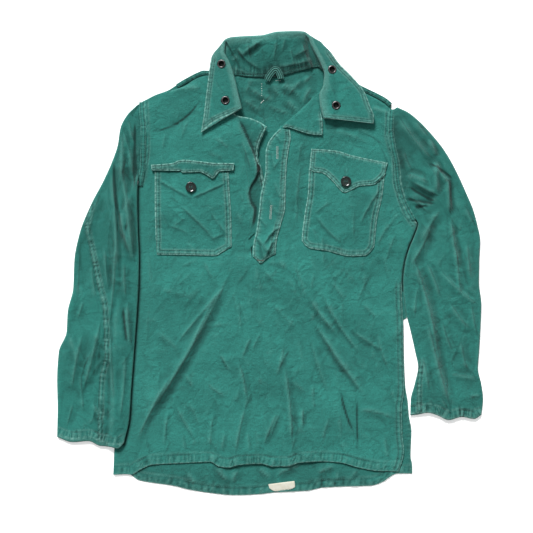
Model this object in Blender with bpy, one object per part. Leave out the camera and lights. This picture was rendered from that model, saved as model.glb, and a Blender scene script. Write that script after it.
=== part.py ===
"""A pullover field shirt laid flat with its front facing up.

The drawing is in millimetres: +X to the viewer's right, +Y towards the collar, +Z up from the
surface that the shirt lies on. Left and right are the viewer's. Every cloth piece is a thin wall:
a grid of points worked out from the outline tables and the height functions, given its thickness
downwards. A piece that lies on the front is the front's own points, raised and trimmed to shape.
"""
import math
from bisect import bisect_right

import bpy
import bmesh
from mathutils import Vector

MM = 0.001

# Driving sizes, millimetres
WALL = 1.5                 # one ply of the washed cotton
COLLAR_WALL = 2.0          # two plies turned and topstitched
LABEL_WALL = 1.0
GAP = 0.35                 # between pieces that lie on each other
SEAM_GAP = 1.0             # between sleeve and body along the armhole
LAYER = WALL + GAP         # how far one piece on another is raised
SIDE_HEIGHT = 3.6          # top of the front where it closes on the back
BODY_HEIGHT = 6.8          # top of the front over most of the body
SIDE_FADE_LEFT = 60.0      # how fast the front rises from its sides, shoulders and hem
SIDE_FADE_RIGHT = 45.0
SHOULDER_START = 110.0      # distance from the middle to the neck end of a shoulder
SHOULDER_DROP = 2.6
SHOULDER_FADE = 7.0
HEM_DROP = 2.4
HEM_FADE = 40.0
SLIT_OVERLAP_END = 165.0   # above it the slit's two edges lie apart
SLIT_OVER_HEIGHT = 7.6     # lowest top of the front's right part beside the slit
PLACKET_LOOSE = 0.9        # how much higher the upper placket lies along its free edge
BUTTON_DIAMETER = 19.0
BUTTON_THICKNESS = 3.2
EYELET_DIAMETER = 15.6
EYELET_HOLE = 9.2
EYELET_CLEARANCE = 0.5     # under a flat ring on a leaf that is slightly twisted
SHIFT_X = -1.0             # brings the middle of the outline to the origin
SHIFT_Y = 1.53

# Outlines of the body. Columns: y, x
LEFT_EDGE = [(-382, -281), (-333, -279), (-211, -272), (-67, -268), (0, -265), (50, -262.5),
             (80, -257), (110, -246), (130, -240), (149, -235), (169, -231), (211, -226.5),
             (251, -227), (290, -229)]
RIGHT_EDGE = [(-375, 233), (-338, 242), (-309, 239), (-263, 238), (-229, 242), (-166, 241),
              (-105, 240), (-54, 238), (-36, 238), (-18, 239), (0, 241.5), (17, 246),
              (34, 252), (52, 260), (70, 265), (92, 250.4), (121, 239), (149, 232), (185, 231),
              (208, 223), (231, 218), (254, 219), (273, 219)]
BACK_RIGHT_EDGE = [(-379, 257), (-365, 257), (-347, 254), (-301, 255.5), (-275, 251), (-250, 249),
                   (-221, 244.5), (-166, 242), (-105, 241), (-54, 238)] + RIGHT_EDGE[8:]

# Outlines of the body. Columns: x, y
FRONT_HEM = [(-281, -381), (-257, -380), (-249, -381), (-231, -371), (-211, -363), (-153, -360),
             (-106, -358), (-91, -366), (-75, -368), (-53, -363), (-17, -361), (7, -366),
             (30, -366), (53, -359), (90, -357), (124, -359), (159, -368), (193, -374), (233, -375)]
BACK_HEM = [(-281, -377), (-255, -379), (-235, -391), (-208, -396), (-172, -401), (-144, -408),
            (-106, -414), (-60, -418), (-17, -416), (9, -413), (67, -410), (99, -404),
            (147, -402), (181, -401), (204, -394), (215, -386), (230, -379), (257, -379)]
FRONT_TOP_LEFT = [(-229, 290), (-206, 301), (-193, 306), (-182, 309), (-165, 313), (-150, 319),
                  (-139, 327), (-125, 334), (-112, 337), (-100, 325), (-80, 292), (-66, 270),
                  (-57, 264), (-36, 260), (-18, 253), (-4, 244)]
FRONT_TOP_RIGHT = [(19, 244), (40, 261), (66, 285), (91, 308), (105, 315), (125, 319),
                   (145, 317), (168, 307), (188, 297), (197, 292), (211, 281), (219, 273)]
BACK_TOP = [(-229, 290), (-206, 302), (-182, 311), (-155, 329), (-130, 342), (-119, 346),
            (-108, 346), (-90, 341), (-67, 336), (-44, 333), (-14, 332), (14, 333), (55, 344),
            (93, 353), (127, 343), (162, 320), (186, 309), (209, 297), (219, 289)]

# The slit down the front, under the placket. Columns: y, x
SLIT_LEFT = [(9, -32), (26, -33), (43, -16), (60, -2), (90, 5), (120, -2), (140, -8), (157, -12),
             (172, -15), (192, -21), (209, -19), (230, -11), (245, -4)]
SLIT_RIGHT = [(9, -32), (26, -31), (60, -25), (92, -20), (121, -17), (143, -12), (168, -8),
              (197, -8), (215, -3), (229, 6), (243, 19)]
SLIT_FOOT = 9.0
SLIT_HEM = -30.0

# Height of the front's side edges. Columns: y, z
LEFT_EDGE_HEIGHT = [(-382, 3.6), (150, 3.6), (195, 6.4), (270, 5.6), (290, 4.0)]
RIGHT_EDGE_HEIGHT = [(-375, 3.6), (60, 3.6), (110, 6.2), (250, 5.6), (273, 4.2)]

# Largest folds, as ridges. Columns: start x, y, end x, y, bow, rise, half width
FRONT_FOLDS = [
    (-182, 307, -122, 314, -4, 5.0, 9),       # roll of the left shoulder
    (181, 281, 222, 271, 2, 4.0, 8),          # roll of the right shoulder
    (-69, -7, -215, -271, 10, 4.5, 16),       # long diagonal across the belly
    (-76, -35, -169, -153, -8, 2.5, 11),
    (71, -90, 172, -236, -6, 4.5, 12),        # sharp fold, right of the middle
    (64, -48, 130, -125, 4, 2.5, 10),
    (98, -50, 170, -160, -5, 3.0, 11),
    (150, -116, 208, -152, 3, 2.5, 10),
    (-57, -175, -62, -342, -9, 3.0, 12),
    (36, -150, 40, -262, 5, 2.5, 11),
    (135, -235, 133, -345, 4, 3.0, 13),
    (186, -240, 188, -345, -3, 2.0, 12),
]
SLEEVE_LEFT_FOLDS = [
    (-286, 205, -272, 10, 6, 5.0, 12),
    (-300, 112, -292, -150, -8, 4.0, 11),
    (-262, -40, -262, -190, 3, 4.0, 12),
    (-350, -130, -322, -250, 6, 4.5, 14),
    (-296, -170, -300, -300, 4, 3.0, 11),
]
SLEEVE_RIGHT_FOLDS = [
    (232, 258, 318, 150, -6, 6.0, 13),
    (318, 150, 300, 60, -8, 4.0, 13),
    (345, 140, 352, 20, 4, 4.0, 13),
    (262, 10, 305, -140, 6, 4.5, 15),
    (305, -140, 330, -262, 4, 4.0, 13),
    (318, -30, 372, -80, 5, 3.0, 11),
]
TROUGHS = [
    (-222, 236, -122, 297, 16, -2.4, 13),     # hollow below the left shoulder's roll
    (157, -240, 158, -345, 0, -1.6, 11),
]

# Sleeves, from shoulder to cuff. Columns: place along (0 to 1), outer x, y, inner x, y.
# Down to the row named below, the inner edge is the armhole and the sleeve is open to the body.
SLEEVE_LEFT = [
    (0.00, -239, 283, -229.8, 287), (0.04, -256, 266, -228, 268), (0.09, -268, 243, -227.8, 243),
    (0.15, -273, 212, -227.6, 212), (0.21, -284, 180, -230.5, 178), (0.27, -300, 145, -236.2, 148),
    (0.34, -320, 107, -237, 108), (0.42, -341, 55, -236, 60), (0.50, -351, 5, -234, 10),
    (0.58, -353, -45, -235, -42), (0.64, -363, -88, -238, -92), (0.70, -365, -124, -241, -134),
    (0.76, -379, -160, -244, -176), (0.84, -382, -210, -248, -228), (0.92, -381, -262, -251.5, -280),
    (1.00, -382, -316, -261, -325)]
SLEEVE_RIGHT = [
    (0.00, 230, 280, 220.4, 274), (0.04, 249, 271, 220.2, 256), (0.09, 270, 254, 219.2, 232),
    (0.14, 291, 232, 224.0, 208), (0.19, 312, 206, 232.0, 186), (0.24, 328, 180, 233.0, 152),
    (0.29, 343, 150, 240.6, 121), (0.34, 355, 123, 253.2, 92), (0.385, 366, 97, 266.8, 70),
    (0.43, 374, 68, 260.5, 49), (0.48, 379, 40, 251.5, 27), (0.54, 377.5, 5, 243.7, -2),
    (0.61, 377, -35, 240.3, -36), (0.68, 381, -75, 243.8, -80), (0.75, 379.3, -120, 254, -124),
    (0.82, 377, -160, 262, -160), (0.87, 375, -189, 267, -187), (0.92, 381, -216, 261, -216),
    (0.96, 384, -240, 254, -243), (1.00, 381, -268, 253, -271)]
UNDERARM_LEFT = 0.27
UNDERARM_RIGHT = 0.385
CUFF_DIP = 5.0             # how far the middle of a cuff hangs below its ends
SLEEVE_HEIGHT = 5.8
SLEEVE_SWELL = 1.6         # extra height along the middle of a sleeve
SLEEVE_STATION = 0.055     # longest step between sections
SLEEVE_EDGE = (0.0, 0.6, 1.8, 3.6)       # distances from a sleeve's edge where its side is round
SLEEVE_SIDE = 2.8          # height of the middle of a sleeve's round side
BODY_LIFT = 6.0            # how high the left sleeve lies where it covers the body

# Collar. Columns: seam x, y, z, fold x, y, z, outer edge x, y, z
COLLAR = [
    (-66, 267, 9.2, -50, 276, 13.5, -123, 233, 13.0),
    (-72, 291, 9.0, -56, 300, 13.8, -118, 262, 13.2),
    (-76, 317, 8.0, -61, 322, 14.2, -113.5, 300, 13.2),
    (-72, 332, 6.0, -66, 340, 15.0, -110, 326, 13.0),
    (-64, 337.5, 4.0, -73, 359, 16.0, -107.5, 347, 12.0),
    (-56, 337, 3.2, -82, 379, 16.5, -104, 367, 9.0),
    (-45, 335.5, 3.0, -81, 396, 16.5, -91, 384, 4.5),
    (-33, 334.5, 3.0, -69, 403, 16.5, -72, 372, 1.2),
    (-16, 333.7, 3.0, -45, 405, 16.5, -50, 363, 1.1),
    (2, 334.2, 3.0, -15, 406.5, 16.5, -20, 360, 1.1),
    (22, 336.5, 3.0, 15, 413, 17.0, 10, 362, 1.1),
    (44, 342.5, 3.0, 45, 414, 17.0, 45, 365, 1.1),
    (62, 347.2, 3.2, 61, 413, 17.5, 70, 376, 1.5),
    (73, 350, 3.7, 70, 405, 17.5, 88, 398, 6.0),
    (81, 352, 4.4, 75, 392, 17.5, 99, 388, 9.5),
    (87, 353, 5.0, 82, 378, 17.5, 108, 379, 11.0),
    (94, 348, 6.5, 93, 357, 17.0, 124, 357, 12.0),
    (103, 332, 8.0, 99, 338, 16.0, 148, 333, 12.8),
    (109, 316, 9.0, 97, 318, 15.0, 169, 308, 13.2),
    (108, 297, 9.2, 90, 300, 14.5, 180, 281, 13.2),
    (112, 277, 9.2, 92, 280, 14.0, 187, 263, 13.2),
    (118, 257, 9.2, 98, 258, 13.6, 186, 249.5, 12.8)]
COLLAR_STATIONS = 30
FOLD_RADIUS = 2.6

# What lies on the front. Outlines run round the piece: x, y
POCKET_LEFT = [(-206, 164), (-206, 117), (-205, 58), (-202, 15), (-96, 13), (-68, 28), (-69, 87),
               (-72, 132), (-74, 164)]
POCKET_RIGHT = [(71, 171), (69, 127), (63, 87), (58, 41), (72, 26), (101, 22), (146, 12), (175, 13),
                (188, 29), (193, 79), (202, 119), (207, 160)]
FLAP_LEFT = [(-212, 177), (-210, 166), (-158, 166), (-156, 162), (-126, 163), (-102, 151),
             (-91, 165), (-66, 166), (-64, 179), (-94, 179), (-123, 182), (-154, 185), (-163, 184),
             (-175, 179)]
FLAP_RIGHT = [(75, 205), (72, 169), (93, 162), (111, 149), (133, 126), (149, 132), (162, 138),
              (186, 140), (200, 150), (208, 160), (212, 180), (149, 193), (117, 202)]
PLACKET_OVER = [(19, 241), (6, 228), (-3, 214), (-7, 196), (-7, 168), (-11, 143), (-16, 121),
                (-19, 92), (-24, 55), (-29, 32), (-30, 12), (-16, -1), (-5, 8), (11, 16), (13, 41),
                (21, 71), (28, 100), (29, 139), (31, 178), (35, 207), (38, 226), (33, 238)]
PLACKET_UNDER = [(-40, 40), (-14, 56), (-4, 66), (3, 90), (-4, 120), (-10, 140), (-14, 157),
                 (-17, 172), (-23, 192), (-21, 209), (-13, 230), (-7, 243), (-20, 249), (-36, 225),
                 (-45, 195), (-42, 170), (-36, 130), (-34, 90)]
LAPEL = [(22, 241), (38, 238), (64, 231), (94, 229), (95, 252), (88, 282), (84, 298), (66, 282),
         (42, 259)]
LABEL = [(-2, -398), (0, -406), (8, -411), (41, -406), (46, -402), (45, -392)]
SHOULDER_LEFT = [(-166, 318), (-153, 326), (-142, 332), (-129, 338.5), (-118, 342.3),
                 (-108, 342)]
SHOULDER_RIGHT = [(158, 318), (170, 312), (186, 304.5), (197, 299), (209, 292), (218, 284)]
SHOULDER_WIDTH = 7.5
SHOULDER_HEIGHT = 3.0

FRONT_COLUMNS_LEFT = 14
FRONT_COLUMNS_RIGHT = 14
FRONT_ROWS = 32
BACK_COLUMNS = 36
BACK_ROWS = 32

# Columns: name, x, y, side of the slit, plies between the button and the front
BUTTONS = [
    ("button_pocket_left", -141, 136, "left", 1),
    ("button_pocket_right", 137, 146, "right", 2),
    ("button_placket", -26, 170, "left", 1)]

# Columns: name, x, y
EYELETS = [
    ("eyelet_left_upper", -86, 356), ("eyelet_left_lower", -79, 291),
    ("eyelet_right_upper", 112, 346), ("eyelet_right_lower", 119, 282)]


# ---------------------------------------------------------------- curves and heights

def slope(rows, i, column):
    """Slope of a smooth curve at row i that never overshoots its rows."""
    def secant(j):
        return (rows[j + 1][column] - rows[j][column]) / (rows[j + 1][0] - rows[j][0])
    if i == 0:
        return secant(0)
    if i == len(rows) - 1:
        return secant(i - 1)
    before = secant(i - 1)
    after = secant(i)
    if before * after <= 0:
        return 0.0
    return 2 * before * after / (before + after)


def curve(rows, at, column=1):
    """Value of a column at a key in the first column, on a smooth curve through the rows."""
    keys = [row[0] for row in rows]
    i = min(max(bisect_right(keys, at) - 1, 0), len(rows) - 2)
    span = keys[i + 1] - keys[i]
    t = min(max((at - keys[i]) / span, 0.0), 1.0)
    start = rows[i][column]
    end = rows[i + 1][column]
    lead = slope(rows, i, column) * span
    trail = slope(rows, i + 1, column) * span
    return (start * (1 + 2 * t) * (1 - t) ** 2 + end * t * t * (3 - 2 * t)
            + lead * t * (1 - t) ** 2 - trail * t * t * (1 - t))


def smooth(t):
    """0 below 0, 1 above 1, and a soft step between."""
    t = min(max(t, 0.0), 1.0)
    return t * t * (3 - 2 * t)


def mix(a, b, t):
    return a + (b - a) * t


def ridge(x, y, fold):
    """Height that one fold adds at a point: a soft roll along a bowed line, fading at its ends."""
    x0, y0, x1, y1, bow, rise, half = fold
    dx = x1 - x0
    dy = y1 - y0
    length = math.hypot(dx, dy)
    along = ((x - x0) * dx + (y - y0) * dy) / length ** 2
    across = ((x - x0) * dy - (y - y0) * dx) / length
    inside = min(max(along, 0.0), 1.0)
    across -= bow * 4 * inside * (1 - inside)
    past = (along - inside) * length
    fade = smooth(inside / 0.25) * smooth((1 - inside) / 0.25)
    return rise * fade * math.exp(-(across ** 2 + past ** 2) / half ** 2)


def folds(x, y, table):
    return sum(ridge(x, y, fold) for fold in table)


def front_height(x, y, part):
    """Top of the front. part is 'left' or 'right' of the slit."""
    from_left = x - curve(LEFT_EDGE, y)
    from_right = curve(RIGHT_EDGE, y) - x
    left_edge = curve(LEFT_EDGE_HEIGHT, y)
    right_edge = curve(RIGHT_EDGE_HEIGHT, y)
    fade_left = math.exp(-max(from_left, 0) / SIDE_FADE_LEFT)
    fade_right = math.exp(-max(from_right, 0) / SIDE_FADE_RIGHT)
    height = BODY_HEIGHT - (BODY_HEIGHT - left_edge) * fade_left
    height -= (BODY_HEIGHT - right_edge) * fade_right
    top_table = FRONT_TOP_LEFT if part == "left" else FRONT_TOP_RIGHT
    if abs(x) > SHOULDER_START:
        height -= SHOULDER_DROP * math.exp(-max(curve(top_table, x) - y, 0) / SHOULDER_FADE)
    height -= HEM_DROP * math.exp(-max(y - curve(FRONT_HEM, x), 0) / HEM_FADE)
    clear = smooth((from_left - 32) / 30) if y < 170 else 1.0
    height += clear * (folds(x, y, FRONT_FOLDS) + folds(x, y, TROUGHS))
    if y > SLIT_FOOT + 1:
        edge = curve(SLIT_RIGHT, y)
        rise = smooth((y - SLIT_FOOT) / 16)
        if part == "left" and y < SLIT_OVERLAP_END:
            under = SIDE_HEIGHT + 0.1 * max(edge - x - 4, 0)
            height = mix(height, min(height, under), rise * smooth((SLIT_OVERLAP_END - y) / 20))
        if part == "right" and x < edge + 70:
            height = mix(height, max(height, SLIT_OVER_HEIGHT), rise * smooth((edge + 70 - x) / 35))
    return max(height, SIDE_HEIGHT)


# ---------------------------------------------------------------- mesh helpers

def material(name, colour, roughness, metallic=0.0):
    mat = bpy.data.materials.new(name)
    mat.use_nodes = True
    shader = mat.node_tree.nodes["Principled BSDF"]
    shader.inputs["Base Color"].default_value = (*colour, 1.0)
    shader.inputs["Roughness"].default_value = roughness
    shader.inputs["Metallic"].default_value = metallic
    mat.diffuse_color = (*colour, 1.0)
    return mat


def finish(bm, name, mat):
    """Put a closed mesh drawn in millimetres into the scene as one object, in metres."""
    bmesh.ops.remove_doubles(bm, verts=bm.verts, dist=0.001)
    bmesh.ops.recalc_face_normals(bm, faces=bm.faces)
    bmesh.ops.translate(bm, verts=bm.verts, vec=(SHIFT_X, SHIFT_Y, 0))
    bmesh.ops.scale(bm, verts=bm.verts, vec=(MM, MM, MM))
    mesh = bpy.data.meshes.new(name)
    bm.to_mesh(mesh)
    bm.free()
    mesh.materials.append(mat)
    obj = bpy.data.objects.new(name, mesh)
    bpy.context.scene.collection.objects.link(obj)
    return obj


def add_grid(bm, points):
    """Faces over a grid of points, points[row][column]. Returns the grid's vertices."""
    grid = [[bm.verts.new(point) for point in row] for row in points]
    for low, high in zip(grid, grid[1:]):
        for i in range(len(low) - 1):
            bm.faces.new((low[i], low[i + 1], high[i + 1], high[i]))
    return grid


def thicken(bm, wall):
    """Give an open sheet its thickness, downwards."""
    bmesh.ops.remove_doubles(bm, verts=bm.verts, dist=0.001)
    lowered = bmesh.ops.extrude_face_region(bm, geom=bm.faces[:])
    new_verts = [item for item in lowered["geom"] if isinstance(item, bmesh.types.BMVert)]
    bmesh.ops.translate(bm, verts=new_verts, vec=(0, 0, -wall))
    bmesh.ops.triangulate(bm, faces=bm.faces)


def shell(bm, above, below):
    """Give an open sheet its thickness along its own normals, on both sides of it."""
    bmesh.ops.remove_doubles(bm, verts=bm.verts, dist=0.001)
    bm.normal_update()
    rim = [edge.link_loops[0] for edge in bm.edges if edge.is_boundary]
    rim = [(loop.vert, loop.link_loop_next.vert) for loop in rim]
    sheet = bm.faces[:]
    under = {vert: bm.verts.new(vert.co - vert.normal * below) for vert in bm.verts[:]}
    for vert in under:
        vert.co += vert.normal * above
    for face in sheet:
        bm.faces.new([under[vert] for vert in reversed(face.verts)])
    for a, b in rim:
        bm.faces.new((b, a, under[a], under[b]))
    bmesh.ops.triangulate(bm, faces=bm.faces)


def prism(name, outline, top=60.0):
    """A guide that trims a piece to an outline; it isn't part of the shirt."""
    bm = bmesh.new()
    face = bm.faces.new([bm.verts.new((x, y, -5)) for x, y in outline])
    raised = bmesh.ops.extrude_face_region(bm, geom=[face])
    verts = [item for item in raised["geom"] if isinstance(item, bmesh.types.BMVert)]
    bmesh.ops.translate(bm, verts=verts, vec=(0, 0, top))
    guide = finish(bm, name + ".guide", CLOTH)
    guide.hide_render = True
    guide.display_type = 'WIRE'
    return guide


def trim(obj, guide, operation):
    boolean = obj.modifiers.new("trim", 'BOOLEAN')
    boolean.operation = operation
    boolean.solver = 'EXACT'
    boolean.object = guide


# ---------------------------------------------------------------- front and back

def front_part(part, raise_by=None):
    """Rows of points over the front on one side of the slit, each raised by raise_by(x, y)."""
    left = part == "left"
    columns = FRONT_COLUMNS_LEFT if left else FRONT_COLUMNS_RIGHT
    top = FRONT_TOP_LEFT if left else FRONT_TOP_RIGHT
    rows = []
    for j in range(FRONT_ROWS + 1):
        v = j / FRONT_ROWS
        row = []
        for i in range(columns + 1):
            u = i / columns
            if left:
                hem_x = mix(FRONT_HEM[0][0], SLIT_HEM, u)
            else:
                hem_x = mix(SLIT_HEM, FRONT_HEM[-1][0], u)
            top_x = mix(top[0][0], top[-1][0], u)
            y = mix(curve(FRONT_HEM, hem_x), curve(top, top_x), v)
            if y < SLIT_FOOT + 2:
                foot = mix(SLIT_HEM, SLIT_RIGHT[0][1], (y - FRONT_HEM[0][1]) / 390)
                slit = min(max(foot, SLIT_RIGHT[0][1]), SLIT_HEM)
            else:
                slit = curve(SLIT_LEFT if left else SLIT_RIGHT, y)
            if left:
                x = mix(curve(LEFT_EDGE, y), slit, u)
            else:
                x = mix(slit, curve(RIGHT_EDGE, y), u)
            z = front_height(x, y, part)
            if raise_by:
                z += raise_by(x, y)
            row.append((x, y, z))
        rows.append(row)
    return rows


def make_front():
    """One whole front, joined below the slit's foot and open above it."""
    bm = bmesh.new()
    add_grid(bm, front_part("left"))
    add_grid(bm, front_part("right"))
    thicken(bm, WALL)
    return finish(bm, "front", CLOTH)


def make_back():
    """The back lies flat on the surface and reaches past the front at the neck, hem and side."""
    bm = bmesh.new()
    rows = []
    for j in range(BACK_ROWS + 1):
        v = j / BACK_ROWS
        row = []
        for i in range(BACK_COLUMNS + 1):
            u = i / BACK_COLUMNS
            hem_x = mix(BACK_HEM[0][0], BACK_HEM[-1][0], u)
            top_x = mix(BACK_TOP[0][0], BACK_TOP[-1][0], u)
            y = mix(curve(BACK_HEM, hem_x), curve(BACK_TOP, top_x), v)
            x = mix(curve(LEFT_EDGE, y), curve(BACK_RIGHT_EDGE, y), u)
            row.append((x, y, WALL))
        rows.append(row)
    add_grid(bm, rows)
    bm.normal_update()
    bmesh.ops.dissolve_limit(bm, angle_limit=0.01, verts=bm.verts, edges=bm.edges)
    thicken(bm, WALL)
    return finish(bm, "back", CLOTH)


def lay_on_front(name, outline, part, raise_by, wall=WALL):
    """A piece that lies on the front: the front's points raised, then trimmed to its outline."""
    bm = bmesh.new()
    lowest = min(y for x, y in outline) - 45
    highest = max(y for x, y in outline) + 45
    leftmost = min(x for x, y in outline) - 45
    rightmost = max(x for x, y in outline) + 45
    add_grid(bm, front_part(part, lambda x, y: raise_by(x, y) + wall - WALL))
    outside = [v for v in bm.verts if not (leftmost < v.co.x < rightmost
                                           and lowest < v.co.y < highest)]
    bmesh.ops.delete(bm, geom=outside, context='VERTS')
    thicken(bm, wall)
    piece = finish(bm, name, CLOTH)
    trim(piece, prism(name, outline), 'INTERSECT')
    return piece


def placket_raise(x, y):
    """The upper placket is free along its left edge and sewn down along its right one."""
    return LAYER + PLACKET_LOOSE * smooth((20 - x) / 40)


def layers(count, loose=0.0):
    """A raise that is the same everywhere: a number of plies, and how loosely they lie."""
    return lambda x, y: count * LAYER + loose


def make_on_front():
    lay_on_front("pocket_left", POCKET_LEFT, "left", layers(1))
    lay_on_front("pocket_right", POCKET_RIGHT, "right", layers(1))
    lay_on_front("flap_left", FLAP_LEFT, "left", layers(2), wall=2 * WALL)
    lay_on_front("flap_right", FLAP_RIGHT, "right", layers(2))
    lay_on_front("placket_over", PLACKET_OVER, "right", placket_raise)
    lay_on_front("placket_under", PLACKET_UNDER, "left", layers(1))
    lay_on_front("lapel", LAPEL, "right", layers(2, loose=0.6))


# ---------------------------------------------------------------- sleeves

def body_cover(x, y):
    """1 where the left sleeve lies over the body, 0 where it lies on the surface."""
    return smooth((x - curve(LEFT_EDGE, y) + 17) / 13) * smooth((162 - y) / 12)


def rounding(distance):
    """How far a round side has turned at a distance from a sleeve's edge, 0 to 1."""
    reach = min(distance / SLEEVE_EDGE[-1], 1.0)
    return math.sqrt(1 - (1 - reach) ** 2)


def sleeve_section(table, fold_table, s, closed):
    """Points round a sleeve: over the top from inner to outer edge, then back underneath."""
    outer = Vector((curve(table, s, 1), curve(table, s, 2)))
    inner = Vector((curve(table, s, 3), curve(table, s, 4)))
    width = (outer - inner).length
    edge = [distance / width for distance in SLEEVE_EDGE]
    far = [1 - t for t in reversed(edge)]
    top = edge + [mix(edge[-1], far[0], t) for t in (0.16, 0.38, 0.62, 0.84)] + far
    under = edge[1:] + [mix(edge[-1], far[0], t) for t in (0.35, 0.62, 0.8)] + far
    path = [(t, False) for t in reversed(top)] + [(t, True) for t in under]
    points = []
    for t, bottom in path:
        x, y = outer.lerp(inner, t)
        y -= CUFF_DIP * smooth((s - 0.85) / 0.15) * math.sin(math.pi * t)
        lift = BODY_LIFT * body_cover(x, y) if table is SLEEVE_LEFT else 0.0
        turned = rounding(t * width) * (rounding((1 - t) * width) if closed else 1.0)
        if bottom:
            z = SLEEVE_SIDE * (1 - turned)
        else:
            loose = smooth(t * width / 20) * (smooth((1 - t) * width / 20) if closed else 1.0)
            high = SLEEVE_HEIGHT + SLEEVE_SWELL * math.sin(math.pi * t) * smooth(s / 0.1)
            high += folds(x, y, fold_table) * smooth((1 - s) / 0.06) * loose
            z = SLEEVE_SIDE + (high - SLEEVE_SIDE) * turned
        points.append((x, y, z + lift))
    return points


def make_sleeve(name, table, fold_table, underarm):
    """A flattened tube with a wall, open along the armhole and at the cuff."""
    stations = [table[0][0]]
    for row in table[1:]:
        steps = math.ceil((row[0] - stations[-1]) / SLEEVE_STATION)
        start = stations[-1]
        stations += [mix(start, row[0], (k + 1) / steps) for k in range(steps)]
    bm = bmesh.new()
    add_grid(bm, [sleeve_section(table, fold_table, s, s >= underarm) for s in stations])
    if table is SLEEVE_RIGHT:
        bmesh.ops.reverse_faces(bm, faces=bm.faces)
    shell(bm, 0.0, WALL)
    return finish(bm, name, CLOTH)


# ---------------------------------------------------------------- collar

def collar_row(k):
    """Seam, fold and outer edge of the collar at a place 0 to 1 along it."""
    rows = [(i / (len(COLLAR) - 1), *row) for i, row in enumerate(COLLAR)]
    values = [curve(rows, k, column) for column in range(1, 10)]
    return Vector(values[0:3]), Vector(values[3:6]), Vector(values[6:9])


def collar_section(k):
    """Points across the collar, from the neck seam over the fold to the outer edge."""
    seam, fold, edge = collar_row(k)
    along = (collar_row(min(k + 0.01, 1.0))[1] - collar_row(max(k - 0.01, 0.0))[1]).normalized()
    out = -((seam - fold).normalized() + (edge - fold).normalized())
    out = (out - along * out.dot(along)).normalized()
    turn = out.cross(along)
    centre = fold - out * FOLD_RADIUS
    arc = []
    for step in range(5):
        angle = math.pi * step / 4
        arc.append(centre - turn * FOLD_RADIUS * math.cos(angle) + out * FOLD_RADIUS * math.sin(angle))
    stand = [seam.lerp(arc[0], t) for t in (0.0, 0.35, 0.7)]
    fall = [arc[-1].lerp(edge, t) for t in (0.2, 0.45, 0.7, 0.9, 1.0)]
    return stand + arc + fall


def make_collar():
    bm = bmesh.new()
    add_grid(bm, [collar_section(k / COLLAR_STATIONS) for k in range(COLLAR_STATIONS + 1)])
    shell(bm, COLLAR_WALL / 2, COLLAR_WALL / 2)
    return finish(bm, "collar", CLOTH)


def leaf_seat(x, y):
    """Point and upward normal of the collar's leaf above a place in plan."""
    best = None
    steps = 160
    for i in range(steps + 1):
        section = collar_section(i / steps)
        start = section[7]
        end = section[-1]
        for j in range(1, 40):
            point = start.lerp(end, j / 40)
            away = math.hypot(point.x - x, point.y - y)
            if best is None or away < best[0]:
                best = (away, point, i / steps, (end - start).normalized())
    place, point, along = best[2], best[1], best[3]
    ahead = collar_section(min(place + 0.02, 1.0))
    behind = collar_section(max(place - 0.02, 0.0))
    run = (ahead[9] - behind[9]).normalized()
    normal = run.cross(along).normalized()
    if normal.z < 0:
        normal = -normal
    return point, normal


# ---------------------------------------------------------------- turned and small pieces

def lathe(profile, segments, closed):
    """Turn a profile of (radius, height) round the Z axis."""
    bm = bmesh.new()
    verts = [bm.verts.new((radius, 0, z)) for radius, z in profile]
    edges = [bm.edges.new(pair) for pair in zip(verts, verts[1:])]
    if closed:
        edges.append(bm.edges.new((verts[-1], verts[0])))
    bmesh.ops.spin(bm, geom=verts + edges, axis=(0, 0, 1), cent=(0, 0, 0), angle=2 * math.pi,
                   steps=segments, use_merge=True)
    bmesh.ops.remove_doubles(bm, verts=bm.verts, dist=0.001)
    return bm


def seat(bm, point, normal):
    """Stand a small piece, drawn at the origin, on a point with its axis along a normal."""
    turn = Vector((0, 0, 1)).rotation_difference(normal).to_matrix()
    bmesh.ops.rotate(bm, verts=bm.verts, cent=(0, 0, 0), matrix=turn)
    bmesh.ops.translate(bm, verts=bm.verts, vec=point)


def make_eyelets(collar):
    """Metal rings through holes in the collar's leaves."""
    flange = EYELET_DIAMETER / 2
    hole = EYELET_HOLE / 2
    barrel = hole + 0.7
    above = COLLAR_WALL / 2 + EYELET_CLEARANCE
    profile = [(hole, above + 0.9), (hole + 1.2, above + 1.3), (flange, above + 0.4),
               (flange - 0.5, above), (barrel, above), (barrel, -above),
               (flange - 1.5, -above - 0.2), (hole, -above - 0.9)]
    for name, x, y in EYELETS:
        point, normal = leaf_seat(x, y)
        ring = lathe(profile, 16, closed=True)
        seat(ring, point, normal)
        finish(ring, name, METAL)
        reach = barrel + 2 * GAP
        cutter = lathe([(0, -3.2), (reach, -3.2), (reach, 3.2), (0, 3.2)], 16, False)
        seat(cutter, point, normal)
        guide = finish(cutter, name + ".guide", METAL)
        guide.hide_render = True
        guide.display_type = 'WIRE'
        trim(collar, guide, 'DIFFERENCE')


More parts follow.
